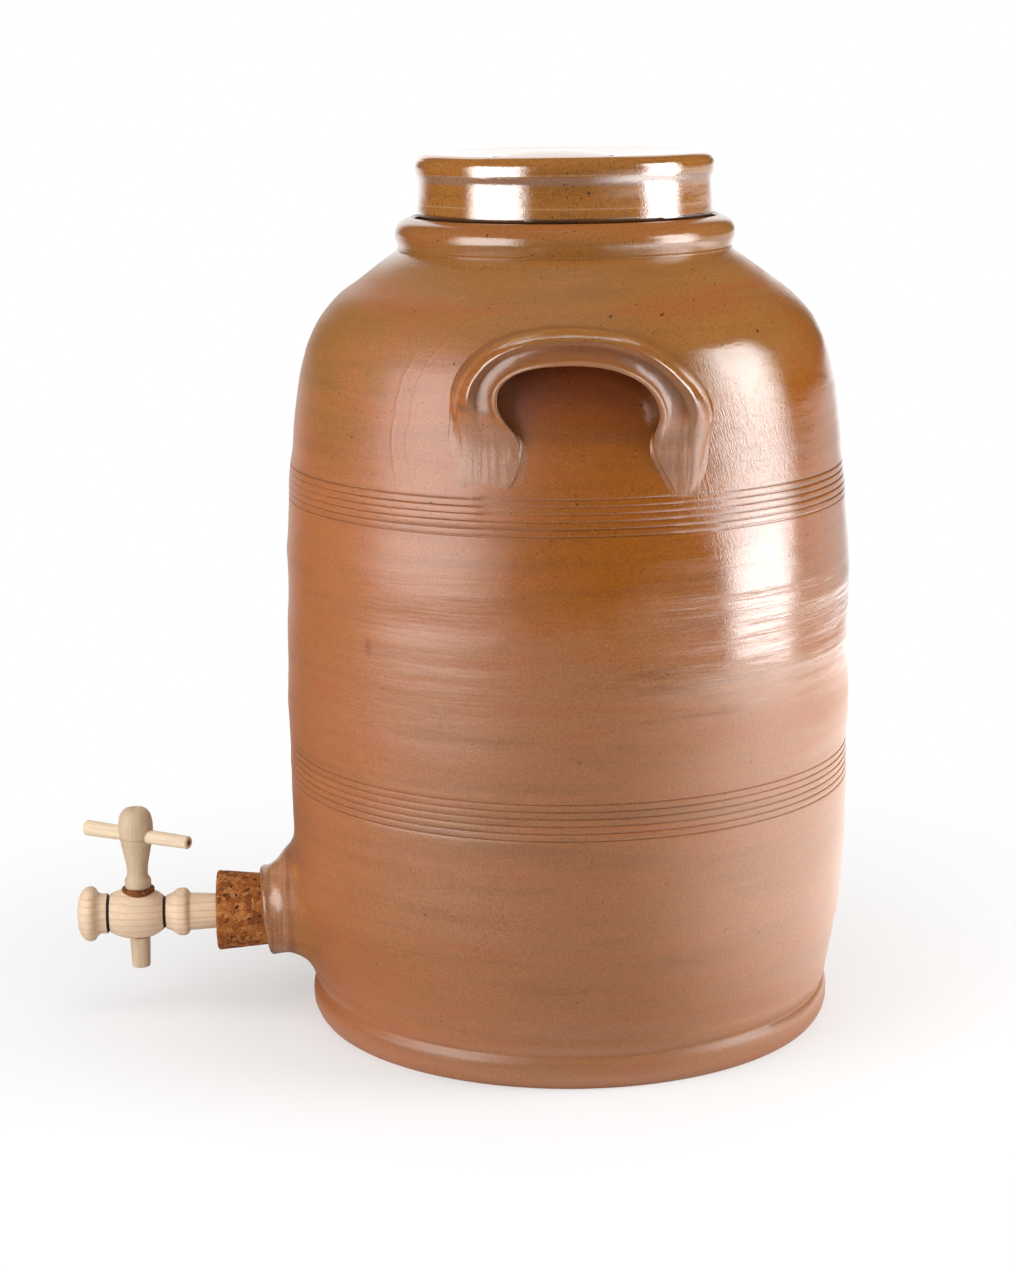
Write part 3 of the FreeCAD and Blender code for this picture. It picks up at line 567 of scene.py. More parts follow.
def knob_colour(at):
    """Mottled ochre and brown."""
    mottled = noise(at.place, 1.5, detail=4, roughness=0.75)
    return painted(LID_LIGHT, (between(mottled, 0.44, 0.66, 0.0, 0.5), LID_DARK))


def lid_colour(at):
    """Mottled too, with two pale lines, a painted reflection under the rim and painted shade at the
    collar's seam.
    """
    colour = knob_colour(at)
    for level in LID_LINE_HEIGHTS:
        gap = off(swayed(at.z, at.broad, 4 * MM), level * MM)
        colour = painted(colour, (between_mm(gap, 0.45, 0.10, 0.0, 0.65), PALE_LINE))
    # Painted shade: the skirt below the collar's edge is darkened so that the seam reads dark.
    seam_shade = between_mm(at.z, 357.2, 356.0, 0.0, 0.85)
    # Painted reflection: a pale band where the bead's underside mirrors the floor.
    pale = band_mm(at.z, 369.0, 370.5, 373.0, 373.8)
    return painted(colour, (seam_shade, IRON), (times(pale, 0.75), BARE))


def wall_glaze(at, satin):
    """How thick the glaze lies, and how rough it is where it is thin: smoother above the middle."""
    above = between_mm(plus(at.z, at.drift, 50 * MM), 150, 200)
    ragged = swayed(at.side, at.broad, 0.5)
    thick = times(between(ragged, 0.52, 0.98), above, between_mm(at.height, 300, 326, 1.0, 0.25))
    thick = calc("MAXIMUM", thick, between_mm(at.z, 330, 342, 0.0, 0.55))
    smoother = times(between(ragged, 0.35, 0.85, 0.0, 0.20), above)
    return thick, calc("SUBTRACT", satin, plus(smoother, above, 0.05))


def lug_glaze(at, satin):
    """The same for a lug: thin on its smeared feet and in its cracks."""
    bare = thin_glaze_and_shadow(at)
    thick = times(between(at.side, 0.10, 0.65, 0.65, 1.0), between(bare, 0.02, 0.25, 1.0, 0.15),
                  between(bare, -0.6, -0.1))
    return thick, satin


def boss_glaze(at, satin):
    """The same for the boss: thick round the spout and thin at its foot."""
    return between_mm(at.x, -127.5, -131.0), satin


def throwing_marks(at):
    """Lumps, ridges, brush lines and the glaze's orange peel, as layers for bumps."""
    lumps = noise(at.place, 8, detail=2, stretch=(3, 3, 1))
    ridges = times(noise(at.place, 7, detail=3, stretch=(22, 22, 1)), band_mm(at.z, 145, 165, 222, 240))
    brushed = noise(at.place, 1.0, detail=3, roughness=0.6, stretch=(11, 11, 1))
    peel = noise(at.place, 0.8, detail=3, roughness=0.6)
    return [(lumps, 0.30, 0.8), (ridges, 0.55, 0.9), (brushed, 0.05, 0.7), (peel, 0.075, 0.9)]


def potters_marks(at):
    """A scraped place right of the lug and the lines dragged round its left foot, as layers."""
    slanted = add("Mapping", {"Vector": at.place, "Rotation": (0, SCRAPED_SLANT, 0)}).outputs[0]
    scraped = noise(slanted, 0.55, detail=3, roughness=0.6, stretch=(1, 1, 9))
    nearby = between_mm(distance_to(at.place, SCRAPED_PLACE), 55, 10)

    flat = add("CombineXYZ", {
        number: calc("SUBTRACT", value, middle * MM)
        for number, (value, middle) in enumerate(zip((at.x, at.z), DRAG_MIDDLE))}).outputs[0]
    reach = plus(measure("LENGTH", flat), at.drift, 16 * MM)
    lines = [between_mm(off(reach, radius * MM), width, 0.1) for radius, width in DRAG_LINES]
    dragged = times(calc("MAXIMUM", *lines), between_mm(at.x, -40, -50),
                    calc("LESS_THAN", at.y, 0.0), between_mm(at.z, 246, 262))
    return [(times(scraped, nearby), 0.22, 0.9), (dragged, 0.07, 0.9)]


def stoneware(name, tone, find_colour, find_glaze=None):
    """Salt-glazed stoneware; where no glaze is found, it is equally thick all over."""
    glaze = GLAZES[tone]
    finish, tree, shader = new_finish(name)
    at = clay_places(tree)
    shade = times(between(at.fine, 0.25, 0.75, 0.80, 1.18), between(at.broad, 0.2, 0.8, 0.84, 1.14))
    colour = shaded(find_colour(at), shade)
    dots = calc("ADD", specks(at.place, 5.2, 0.85, glaze.specked * 0.5),
                specks(at.place, 1.7, 0.42, glaze.specked * 0.8), clamp=True)
    dots = times(dots, between_mm(at.z, 200, 300, 0.45, 0.85))
    rough, coat = glaze.gloss, glaze.coat
    if find_glaze:
        thick, satin = find_glaze(at, glaze.satin)
        rough = between(thick, 0.0, 1.0, satin, glaze.gloss)
        coat = times(thick, glaze.coat)
    layers = throwing_marks(at)
    if tone == "wall":
        layers += potters_marks(at)
    if tone == "lid":
        calm = between_mm(at.z, 378.6, 379.6, 1.0, 0.08)
        layers = [(times(height, calm), distance, strength) for height, distance, strength in layers]
    normal = bumps(layers)
    feed(shader, {
        "Base Color": painted(colour, (dots, IRON)), "Roughness": swayed(rough, at.fine, 0.12),
        "IOR": glaze.refraction, "Coat Weight": coat, "Coat Roughness": glaze.coat_roughness,
        "Coat IOR": glaze.coat_refraction, "Normal": normal, "Coat Normal": normal})
    return finish


# ---------------------------------------------------------------- cork and wood

CORK_LIGHT = (0.520, 0.205, 0.058)
CORK_MIDDLE = (0.370, 0.112, 0.022)
CORK_DARK = (0.165, 0.042, 0.008)
CORK_PORE = (0.030, 0.012, 0.006)
BURNT = (0.012, 0.008, 0.007)
PITH = (0.100, 0.040, 0.018)


def pressed_cork(name, grain=2.5, lightness=1.0):
    """Granules of cork pressed together, each with its own brown, and dark pores between them."""
    finish, tree, shader = new_finish(name)
    place = here(tree)
    warp = [times(calc("SUBTRACT", noise(place, size, detail=3), 0.5), 3 * MM) for size in (1.7, 2.3, 2.9)]
    shift = add("CombineXYZ", dict(enumerate(warp))).outputs[0]
    moved = add("VectorMath", {0: place, 1: shift}).outputs[0]
    chance = add("SeparateColor", {0: cells(moved, grain)["Color"]}).outputs[0]
    edge = cells(moved, grain, feature="DISTANCE_TO_EDGE")["Distance"]
    fibre = noise(place, 0.6, detail=4, roughness=0.8)
    hole = noise(moved, 1.3, detail=3, roughness=0.7, distortion=1.2)
    pores = calc("ADD", between(hole, 0.60, 0.65), specks(moved, 2.6, 1.0, 0.28), clamp=True)

    light, middle, dark, pore = [[part * lightness for part in colour]
                                 for colour in (CORK_LIGHT, CORK_MIDDLE, CORK_DARK, CORK_PORE)]
    colour = painted(dark, (between(chance, 0.05, 0.45), middle),
                     (between(chance, 0.50, 0.85), light),
                     (between(fibre, 0.50, 0.66, 0.0, 0.75), light),
                     (between(fibre, 0.47, 0.36, 0.0, 0.85), dark),
                     (between(edge, 0.0, 0.07, 0.30, 0.0), dark), (times(pores, 0.9), pore))
    hollow = calc("SUBTRACT", fibre, times(pores, 1.2))
    feed(shader, {"Base Color": colour, "Roughness": 0.82, "Specular IOR Level": 0.25,
                  "Normal": bumps([(hollow, 0.35, 0.8), (edge, 0.25, 0.4)])})
    return finish


def turned_wood(name, along, light, line_colour, period, strength, turn=0.0, burnt=(), pith=None):
    """Pale wood with thin growth lines along one axis of the piece, their distance in mm, and fibres.

    Turn is the angle of that axis about the upright. Burnt lists rings, from and to in mm along x.
    Pith is the place in mm of a dark core, in the turned coordinates.
    """
    finish, tree, shader = new_finish(name)
    place = here(tree)
    x = apart(place)[0]
    if turn:
        place = add("Mapping", {"Vector": place, "Rotation": (0, 0, math.radians(-turn))}).outputs[0]

    def drawn_out(amount):
        return [amount if axis == along else 1 for axis in "xyz"]

    across = apart(place)[0 if along == "z" else 2]
    wave = noise(place, 9, detail=2, stretch=drawn_out(3))
    layer = calc("FRACT", plus(calc("DIVIDE", across, period * MM), wave, 1.1))
    line = band(layer, 0.55, 0.92, 0.94, 1.0)
    fibres = noise(place, 0.5, detail=3, roughness=0.6, stretch=drawn_out(26))
    patch = noise(place, 12, detail=2, stretch=drawn_out(4))
    darker = [part * 0.90 for part in light]
    colour = painted(light, (between(patch, 0.3, 0.7), darker), (times(line, strength), line_colour))
    colour = shaded(colour, between(fibres, 0.3, 0.7, 0.90, 1.05))
    for start, end in burnt:
        ragged = swayed(x, fibres, 0.4 * MM)
        ring = band_mm(ragged, start - 0.25, start + 0.1, end - 0.1, end + 0.25)
        colour = painted(colour, (times(ring, 0.97), BURNT))
    if pith:
        reach = plus(distance_to(place, pith), fibres, 0.8 * MM)
        colour = painted(colour, (between_mm(reach, 2.1, 1.5, 0.0, 0.9), PITH))
    feed(shader, {"Base Color": colour, "Roughness": 0.55, "Specular IOR Level": 0.35,
                  "Normal": bumps([(fibres, 0.08, 0.5)])})
    return finish


# ---------------------------------------------------------------- jar

WALL_LINE = bent_line(WALL, WALL_BENDS, step=2.0)


def wall_radius(height):
    """The jar's outer radius at a height, in mm."""
    for (low_radius, low), (high_radius, high) in zip(WALL_LINE, WALL_LINE[1:]):
        if low <= height <= high:
            share = (height - low) / max(high - low, 1e-6)
            return low_radius + (high_radius - low_radius) * share
    return WALL_LINE[-1][0]


def combed(line):
    """The wall's line with six grooves in each band, every one with a small raised lip."""
    kept = list(line)
    for start, pitch in COMB_BANDS.values():
        low = start - pitch
        high = start + COMB_LINES * pitch
        below = [point for point in kept if point[1] < low]
        above = [point for point in kept if point[1] > high]
        grooves = []
        for number in range(COMB_LINES):
            for offset, rise in COMB_GROOVE[min(number, 1):]:
                height = start + number * pitch + offset
                grooves.append((wall_radius(height) + rise, height))
        kept = below + grooves + above
    return kept


def make_jar(finish):
    """The hollow jar in one turning, uneven outside, its combing worn in places, bored for the tap."""
    outline = [(0.0, 0.0)] + combed(WALL_LINE) + bent_line(COLLAR, COLLAR_BENDS, step=1.6)[1:]
    outline += bent_line(INSIDE, INSIDE_BENDS, step=7.0)[1:]
    jar = turned("thrown_jar", outline, steps=256)
    outside = jar.vertex_groups.new(name="outside")
    numbers = [vertex.index for vertex in jar.data.vertices
               if UNEVEN_LOW * MM < vertex.co.z < UNEVEN_HIGH * MM
               and vertex.co.xy.length > UNEVEN_RADIUS * MM]
    outside.add(numbers, 1.0, "REPLACE")
    uneven(jar, depth=1.6, grain=(320, 320, 22), group="outside")
    uneven(jar, depth=0.9, grain=(90, 90, 60), group="outside")
    jar.vertex_groups.clear()
    for west, east, low, high, rounds in COMB_WORN:
        edit(jar, lambda place: west < place.x < east and low < place.z < high and place.y < 0
             and place.xy.length > COMBED_RADIUS)
        bpy.ops.mesh.vertices_smooth(factor=0.5, repeat=rounds)
    only(jar)
    cut_out(jar, turned("tap_bore", TAP_BORE, 96, (0, 0, TAP_HEIGHT), lying=True))
    smooth(jar)
    place_on(jar, "crock", "glazed_stoneware", finish, "jar_body")


# ---------------------------------------------------------------- lug handles

# One row a station from the left foot over the arch to the right foot: the strap's inner edge (x, z and
# distance from the jar's axis), its outer edge (x, z), the crest's distance from the axis, how wide the
# clay is smeared beside it, how far the strap is hollowed, and how thin the glaze lies.
LUG_STATIONS = [
    (-39, 244.5, 118.4, -41.6, 245.6, 118.4, 2, 0, 0.2),
    (-36.3, 249.4, 120.1, -42.4, 250.9, 120, 2.2, 0, 0.4),
    (-29.5, 256, 120.6, -46.9, 256.7, 120.1, 2.4, 0, 0.8),
    (-27, 264.4, 120.7, -48.7, 264.5, 120.1, 2.3, 0, 1),
    (-26.6, 270.5, 120.9, -49.6, 272.4, 120.4, 1.9, 0, 1),
    (-27.7, 275.4, 122.3, -50.4, 279.4, 121.7, 1.4, 0.1, 0.9),
    (-30.7, 279.1, 124.5, -51, 284.7, 123.6, 1.1, 0.35, 0.5),
    (-33.8, 283.1, 126.1, -51.2, 289, 125.3, 1, 0.7, 0.1),
    (-35.6, 287.8, 126.6, -50.7, 292.5, 125.8, 1, 1, 0),
    (-35.5, 292.5, 127, -49.1, 296.7, 125.7, 1, 1, 0),
    (-34, 296, 127.5, -46, 301.8, 125.4, 0.9, 1, 0),
    (-30.7, 299.4, 128.7, -41.1, 307.4, 125.4, 0.7, 1, 0),
    (-25.3, 302.2, 130.4, -34.7, 311.8, 126, 0.45, 1, 0),
    (-19.1, 303.8, 131.7, -27.1, 314.8, 126.6, 0.25, 1, 0),
    (-12.5, 304.4, 132.6, -17.8, 316.6, 127, 0.12, 1, 0),
    (-6.3, 304.6, 132.8, -7.7, 317.2, 127.1, 0.1, 1, 0),
    (0.4, 304.2, 132.9, 1.6, 317, 127.3, 0.1, 1, 0),
    (7.2, 303.2, 132.6, 11, 315.6, 127.4, 0.12, 1, 0),
    (13.6, 301, 131.7, 19.5, 313.1, 127.1, 0.25, 1, 0),
    (19.3, 298, 130.4, 27.2, 309.1, 127, 0.45, 1, 0),
    (23.8, 294, 129, 34.5, 303.7, 127.1, 0.7, 1, 0),
    (26.7, 289.7, 127.8, 41, 297.5, 127.1, 0.9, 1, 0),
    (28.2, 284.9, 127, 45.9, 291.7, 126.9, 1, 0.9, 0.1),
    (28.1, 280, 125.8, 48.7, 285.9, 126.6, 1, 0.6, 0.3),
    (26.2, 276.7, 123.5, 49.7, 280.6, 125.6, 1, 0.3, 0.7),
    (26.2, 272.8, 122.1, 48.4, 275.5, 124.2, 1, 0.1, 0.9),
    (27.1, 268, 121.4, 46.6, 270.3, 123.2, 1.2, 0, 1),
    (29.3, 263, 121, 45.8, 264.3, 122.3, 1.3, 0, 1),
    (32.5, 257.6, 120.8, 44.8, 258.2, 121.5, 1.4, 0, 1),
    (35.4, 252.1, 120.8, 42.4, 252.5, 121, 1.5, 0, 0.8),
    (37.9, 246.2, 120.2, 40.7, 246.6, 120.3, 1.5, 0, 0.5),
    (39.4, 241.2, 118.4, 40.8, 241.4, 118.4, 1.5, 0, 0.2),
]
# Across the strap from its inner edge to its crest: share of the width, rise in mm where it is
# hollowed, and how thin the glaze lies there.
LUG_FACE = [(0, -0.6, 0), (0.03, 0, 0.4), (0.08, 0.3, 0.6), (0.13, 0.25, 0.5), (0.165, -0.4, 0.2),
            (0.19, -1.5, 0.2), (0.28, -2.3, 0.2), (0.40, -2.8, 0.2), (0.52, -2.8, 0.2), (0.60, -2.3, 0.3),
            (0.64, -1.5, 1), (0.69, -0.6, 1), (0.725, 0.2, 0.8), (0.745, 0.55, 0.1), (0.80, 0.6, 0)]
# From the crest over the bead to the outer edge: share of the width and share of the fall to the wall.
LUG_BEAD = [(0.86, 0.03), (0.92, 0.12), (0.97, 0.26), (1, 0.44)]
# Beside the outer edge: distance in mm, and share of the rise above the wall.
LUG_BESIDE = [(0.5, 0.38), (1, 0.2), (1.7, 0.08), (2.9, 0.015)]
# Under the inner edge: distance in mm where undercut and where smeared out, and share of the rise.
LUG_UNDER = [(1.5, -2.4, 0.03), (1.6, -1.3, 0.15), (1.2, -0.6, 0.45), (0.4, -0.15, 0.8)]
# On the way back inside the wall: how deep, and distances beyond the outer edge and the inner edge.
LUG_BURY = 3.0
LUG_BURY_OUTSIDE = 4.0
LUG_BURY_INSIDE = 1.0
# From this hollow on, the strap stands free of the wall: it is undercut, its cracked edges painted in
# shadow.
LUG_FREE = 0.2


def on_jar(x, z, radius):
    """The point at this x and z and at a distance from the jar's axis, on the front handle's side."""
    return (x, -math.sqrt(radius ** 2 - x ** 2), z)


def lug_section(inner_x, inner_z, inner_radius, outer_x, outer_z, crest_radius, smear, hollow, thin):
    """The closed ring of points round the strap at one station."""
    inner = Vector((inner_x, inner_z))
    outer = Vector((outer_x, outer_z))
    outward = (outer - inner).normalized()
    undercut = min(1.0, 2 * hollow)

    def above_wall(start, distance, full_radius, share):
        place = start + outward * distance
        wall = wall_radius(place.y)
        return on_jar(place.x, place.y, wall + (full_radius - wall) * share)

    ring = [above_wall(inner, cut * undercut + smeared * smear * (1 - undercut), inner_radius, share)
            for cut, smeared, share in LUG_UNDER]
    for share, rise, _ in LUG_FACE:
        place = inner + (outer - inner) * share
        slope = share / LUG_FACE[-1][0]
        radius = inner_radius + (crest_radius - inner_radius) * slope + rise * hollow
        ring.append(on_jar(place.x, place.y, radius))
    for share, fall in LUG_BEAD:
        ring.append(above_wall(inner, (outer - inner).length * share, crest_radius, 1 - fall))
    ring += [above_wall(outer, distance * smear, crest_radius, share) for distance, share in LUG_BESIDE]
    for place in (outer + outward * LUG_BURY_OUTSIDE * smear, outer, (inner + outer) / 2,
                  inner + outward * LUG_BURY_INSIDE):
        ring.append(on_jar(place.x, place.y, wall_radius(place.y) - LUG_BURY))
    return ring


def lug_glaze_and_shadow(hollow, bare):
    """How thin the glaze lies on each point of a ring; below nothing it marks a crack to be painted as
    shadow.
    """
    free = hollow > LUG_FREE
    under = -1.0 if free else bare * 0.8
    beside = -0.42 * hollow if free else bare * 0.5
    face = [max(bare if share > 0.02 else under, thin if hollow > 0.3 else 0.0)
            for share, _, thin in LUG_FACE]
    return ([0.0, 0.0, under, under] + face + [bare * 0.8] * len(LUG_BEAD)
            + [beside] * len(LUG_BESIDE) + [0.0] * 4)


def make_lugs(finish):
    """A pulled strap bent into an arch, its feet smeared on the wall, and its copy at the back."""
    strap = loft("pulled_lug_front", [lug_section(*station) for station in LUG_STATIONS])
    glaze_thinness_and_shadow = [value for station in LUG_STATIONS for value in lug_glaze_and_shadow(*station[-2:])]
    layer = strap.data.attributes.new("thin_glaze_and_shadow", "FLOAT", "POINT")
    layer.data.foreach_set("value", glaze_thinness_and_shadow)
    apply_modifier(strap, "SUBSURF", levels=2, render_levels=2)
    uneven(strap, depth=0.5, grain=(16, 16, 16))
    uneven(strap, depth=0.35, grain=(2.5, 2.5, 22))
    smooth(strap, angle=60)
    bpy.ops.object.duplicate()
    back = bpy.context.object
    back.name = "pulled_lug_back"
    edit(back)
    bpy.ops.transform.rotate(value=math.pi, orient_axis="Z", center_override=(0, 0, 0))
    only(back)
    place_on(strap, "crock", "lug_stoneware", finish, "handle_front")
    place_on(back, "crock", "lug_stoneware", finish, "handle_back")


# ---------------------------------------------------------------- lid

LID_OUTLINE = [(0, 370.4), (51, 370.4), (56.8, 364.6), (56.8, 347), (62.8, 347), (62.9, 354.6),
               (63.75, 357.2), (63.1, 369.4), (63.45, 371.4), (64.15, 373.4), (64.4, 376), (60.2, 381.6),
               (57, 381.3), (29, 379.5), (0, 379.5)]
LID_BENDS = {1: (5.8, -1), 5: (2.2, 1), 6: (150, -1), 7: (4, -1), 9: (6, 1), 10: (5.4, 1),
             11: (16, 1)}
KNOB_OUTLINE = [(0, 376.6), (22.6, 376.6), (26.2, 379.7), (26, 380.1), (0, 382.6)]
KNOB_BENDS = {1: (3.6, -1), 2: (0.3, 1), 3: (137, 1)}
KNOB_PLACE = (-5, 0, 0)


def make_lid(finish, knob_finish):
    """The cup-shaped lid and the low button on it."""
    lid = turned("thrown_lid", bent_line(LID_OUTLINE, LID_BENDS, step=1.4), steps=224)
    uneven(lid, depth=0.7, grain=(90, 90, 9))
    smooth(lid)
    place_on(lid, "lid", "lid_stoneware", finish, "lid")
    knob = turned("button_knob", bent_line(KNOB_OUTLINE, KNOB_BENDS, step=1.2), 128, KNOB_PLACE)
    uneven(knob, depth=0.25, grain=(20, 20, 8))
    smooth(knob)
    place_on(knob, "lid", "lid_stoneware", knob_finish, "lid_knob")


# ---------------------------------------------------------------- boss, cork and tap

# Round the boss from its bore over the lip: radius, and distance behind the lip's slanted plane.
BOSS_LIP = [(14.3, 28), (15.95, 1.6), (16.3, 0.5), (17.2, 0.15), (18.6, 0), (19.6, 0.35),
            (20.2, 1.1), (20.25, 2.2), (20.1, 3.6)]
# On to the wall: radius at the top and at the bottom, and distance from the wall.
BOSS_FLARE = [(21.8, 19.6, 10.6), (24.4, 19.9, 8.2), (27, 20.9, 6.1), (28.7, 22.1, 4.4),
              (30.1, 23.4, 3), (31.5, 24.9, 1.9), (33.1, 26.7, 1), (34.9, 28.7, 0.45),
              (36.5, 30.7, 0.12), (38.1, 32.7, -0.1), (38.7, 33.4, -3), (26, 24, -4)]
BOSS_LIP_REACH = 138.2
BOSS_LIP_SLANT = 2.2
BOSS_POINTS = 112


def make_boss(finish):
    """Thrown spout with a flared foot; its lip is cut at a slant round the cork."""
    angles = [FULL_TURN * number / BOSS_POINTS for number in range(BOSS_POINTS)]
    rings = []
    for radius, behind in BOSS_LIP:
        rings.append([(behind - BOSS_LIP_REACH - BOSS_LIP_SLANT * math.sin(angle),
                       radius * math.cos(angle), TAP_HEIGHT + radius * math.sin(angle))
                      for angle in angles])
    for high, low, distance in BOSS_FLARE:
        ring = []
        for angle in angles:
            radius = low + (high - low) * (1 + math.sin(angle)) / 2
            y, z = radius * math.cos(angle), TAP_HEIGHT + radius * math.sin(angle)
            ring.append((-math.sqrt(wall_radius(z) ** 2 - y ** 2) - distance, y, z))
        rings.append(ring)
    boss = loft("spout_boss", rings, tube=True)
    apply_modifier(boss, "SUBSURF", levels=1, render_levels=1)
    uneven(boss, depth=0.8, grain=(5, 22, 22))
    smooth(boss)
    place_on(boss, "crock", "boss_stoneware", finish, "tap_boss")


BUNG_OUTLINE = [(7.9, -159.7), (17.2, -159.7), (18, -158.9), (14.1, -115.7), (6.9, -115.7),
                (7.9, -159.7)]
BUNG_RISE = 0.3


def make_bung(finish):
    """The tapered cork, bored for the stem."""
    bung = turned("pressed_bung", bent_line(BUNG_OUTLINE, {}, step=0.8), 160,
                  (0, 0, TAP_HEIGHT + BUNG_RISE), lying=True)
    uneven(bung, depth=0.25, grain=(1.6, 1.6, 1.6))
    smooth(bung, angle=60)
    place_on(bung, "bung", "agglomerated_cork", finish, "cork_bung")


BARREL_OUTLINE = [(0, -27.2), (6, -27.1), (9.2, -26.2), (12.4, -22.6), (11.6, -19.6), (9.05, -17.2),
                  (9.05, -14.1), (8.2, -13.85), (8.2, -13.05), (8.8, -12.8), (11.9, -0.9),
                  (11.8, -0.3), (7.6, 11.2), (7, 11.4), (7, 12.2), (7.7, 12.5), (9.3, 16),
                  (10.75, 19.4), (8.9, 22.9), (8.5, 23.3), (7.8, 35.7), (6.2, 89),
                  (2.7, 89), (2.7, 0), (0, 0)]
BARREL_BENDS = {1: (9, 1), 2: (5.6, 1), 3: (3.2, 1), 4: (5, -1), 9: (27, 1), 11: (17.3, 1),
                15: (9, -1), 16: (4.2, 1), 17: (2.9, 1)}
SLEEVE_OUTLINE = [(5.85, 12.3), (6.9, 12.1), (7.35, 11.6), (6.2, -10.4), (4.7, -10.4), (5.85, 12.3)]
KEY_OUTLINE = [(0, 1.5), (2.3, 1.5), (2.3, -25.4), (3.25, -25.4), (4.15, -24.5), (4.6, -11.4),
               (5.7, 12.2), (5.95, 13), (5.95, 15.6), (5.5, 16.6), (4.75, 17.6), (4.65, 20),
               (4.9, 22.9), (5.7, 26.9), (6.5, 30.8), (7.3, 34.9), (7, 35.35), (7.4, 35.8),
               (7.7, 40.2), (7.35, 44.4), (6.3, 47.2), (4.6, 48.9), (2.6, 49.4), (1, 49.3),
               (0.7, 48.6), (0, 47.6)]
KEY_BENDS = {3: (0.9, 1), 17: (20, 1), 18: (14, 1), 19: (7, 1), 20: (5, 1)}
KEY_HOLE = [(0, -14), (4.8, -14), (4.8, -10.6), (6.25, -10.4), (7.4, 11.9), (7.5, 16), (0, 16)]
CROSSBAR_OUTLINE = [(0, -27), (3.1, -27), (3.55, -26.5), (2.9, 28.1), (2.45, 28.6), (0, 28.6)]
CROSSBAR_HOLE = [(0, -27), (3.63, -27), (2.98, 28.6), (0, 28.6)]
# The burnt rings of the barrel, from and to along its axis, measured from the key.
BURNT_RINGS = [(-14.1, -12.9), (11.2, 12.4)]
# The dark core at the crossbar's right end, in the bar's own turned coordinates.
PITH_PLACE = (-140.6, -97.7, 81)


def make_tap(barrel_finish, sleeve_finish, key_finish, bar_finish):
    """Barrel with its key hole, the cork sleeve in it, the key and the crossbar through its head."""
    centre = (-KEY_REACH, 0, TAP_HEIGHT)
    barrel = turned("turned_barrel", bent_line(BARREL_OUTLINE, BARREL_BENDS, step=0.9), 128, centre,
                    lying=True)
    cut_out(barrel, turned("key_hole", KEY_HOLE, 96, centre))
    smooth(barrel)
    place_on(barrel, "tap", "turned_wood", barrel_finish, "tap_barrel")

    sleeve = turned("cork_sleeve", bent_line(SLEEVE_OUTLINE, {}, step=0.5), 96, centre)
    uneven(sleeve, depth=0.35, grain=(1.4, 1.4, 1.4))
    smooth(sleeve, angle=60)
    place_on(sleeve, "tap", "sleeve_cork", sleeve_finish, "key_cork_sleeve")

    key = turned("turned_key", bent_line(KEY_OUTLINE, KEY_BENDS, step=0.7), 96, centre)
    bar_middle = Vector(centre) + Vector((0, 0, CROSSBAR_RISE))
    bar = turned("crossbar_dowel", bent_line(CROSSBAR_OUTLINE, {}, step=1.5), 64, bar_middle, lying=True)
    hole = turned("bar_hole", CROSSBAR_HOLE, 64, bar_middle, lying=True)
    for piece in (bar, hole):
        edit(piece)
        bpy.ops.transform.rotate(value=-math.radians(KEY_TURN), orient_axis="Z",
                                 center_override=bar_middle * MM)
        only(piece)
    cut_out(key, hole)
    smooth(key)
    smooth(bar)
    place_on(key, "key", "key_wood", key_finish, "tap_key")
    place_on(bar, "key", "dowel_wood", bar_finish, "key_crossbar")


# ---------------------------------------------------------------- stage

FLOOR_GREY = (0.86, 0.86, 0.86, 1.0)
FLOOR_RADIUS = 40000
# The direction from the pot in which the mirrored floor is darkest; it is brightest the other way.
DIM_SIDE = (-0.883, -0.469, 0.0)

# Lamps: azimuth in degrees from the front towards +X, then distance, height, width and length in
# metres, and radiance. Only the soft boxes are mirrored in the glaze.
LAMPS = {
    "right_soft_box": (75, 0.80, 0.430, 0.43, 0.76, 4.5),
    "left_soft_box": (-57, 0.85, 0.400, 0.66, 0.72, 3.5),
    "right_fill": (80, 0.90, 1.15, 0.70, 0.50, 2.8),
    "right_wash": (88, 0.85, 0.35, 0.50, 0.70, 1.6),
    "left_fill": (-80, 0.90, 1.10, 0.70, 0.50, 2.0),
    "top_fill": (20, 0.15, 1.70, 1.00, 1.00, 1.8),
}
# A lamp closer to the axis than this hangs over the pot and looks down at a place this high, in metres.
OVERHEAD_DISTANCE = 0.5
OVERHEAD_AIM = 0.2


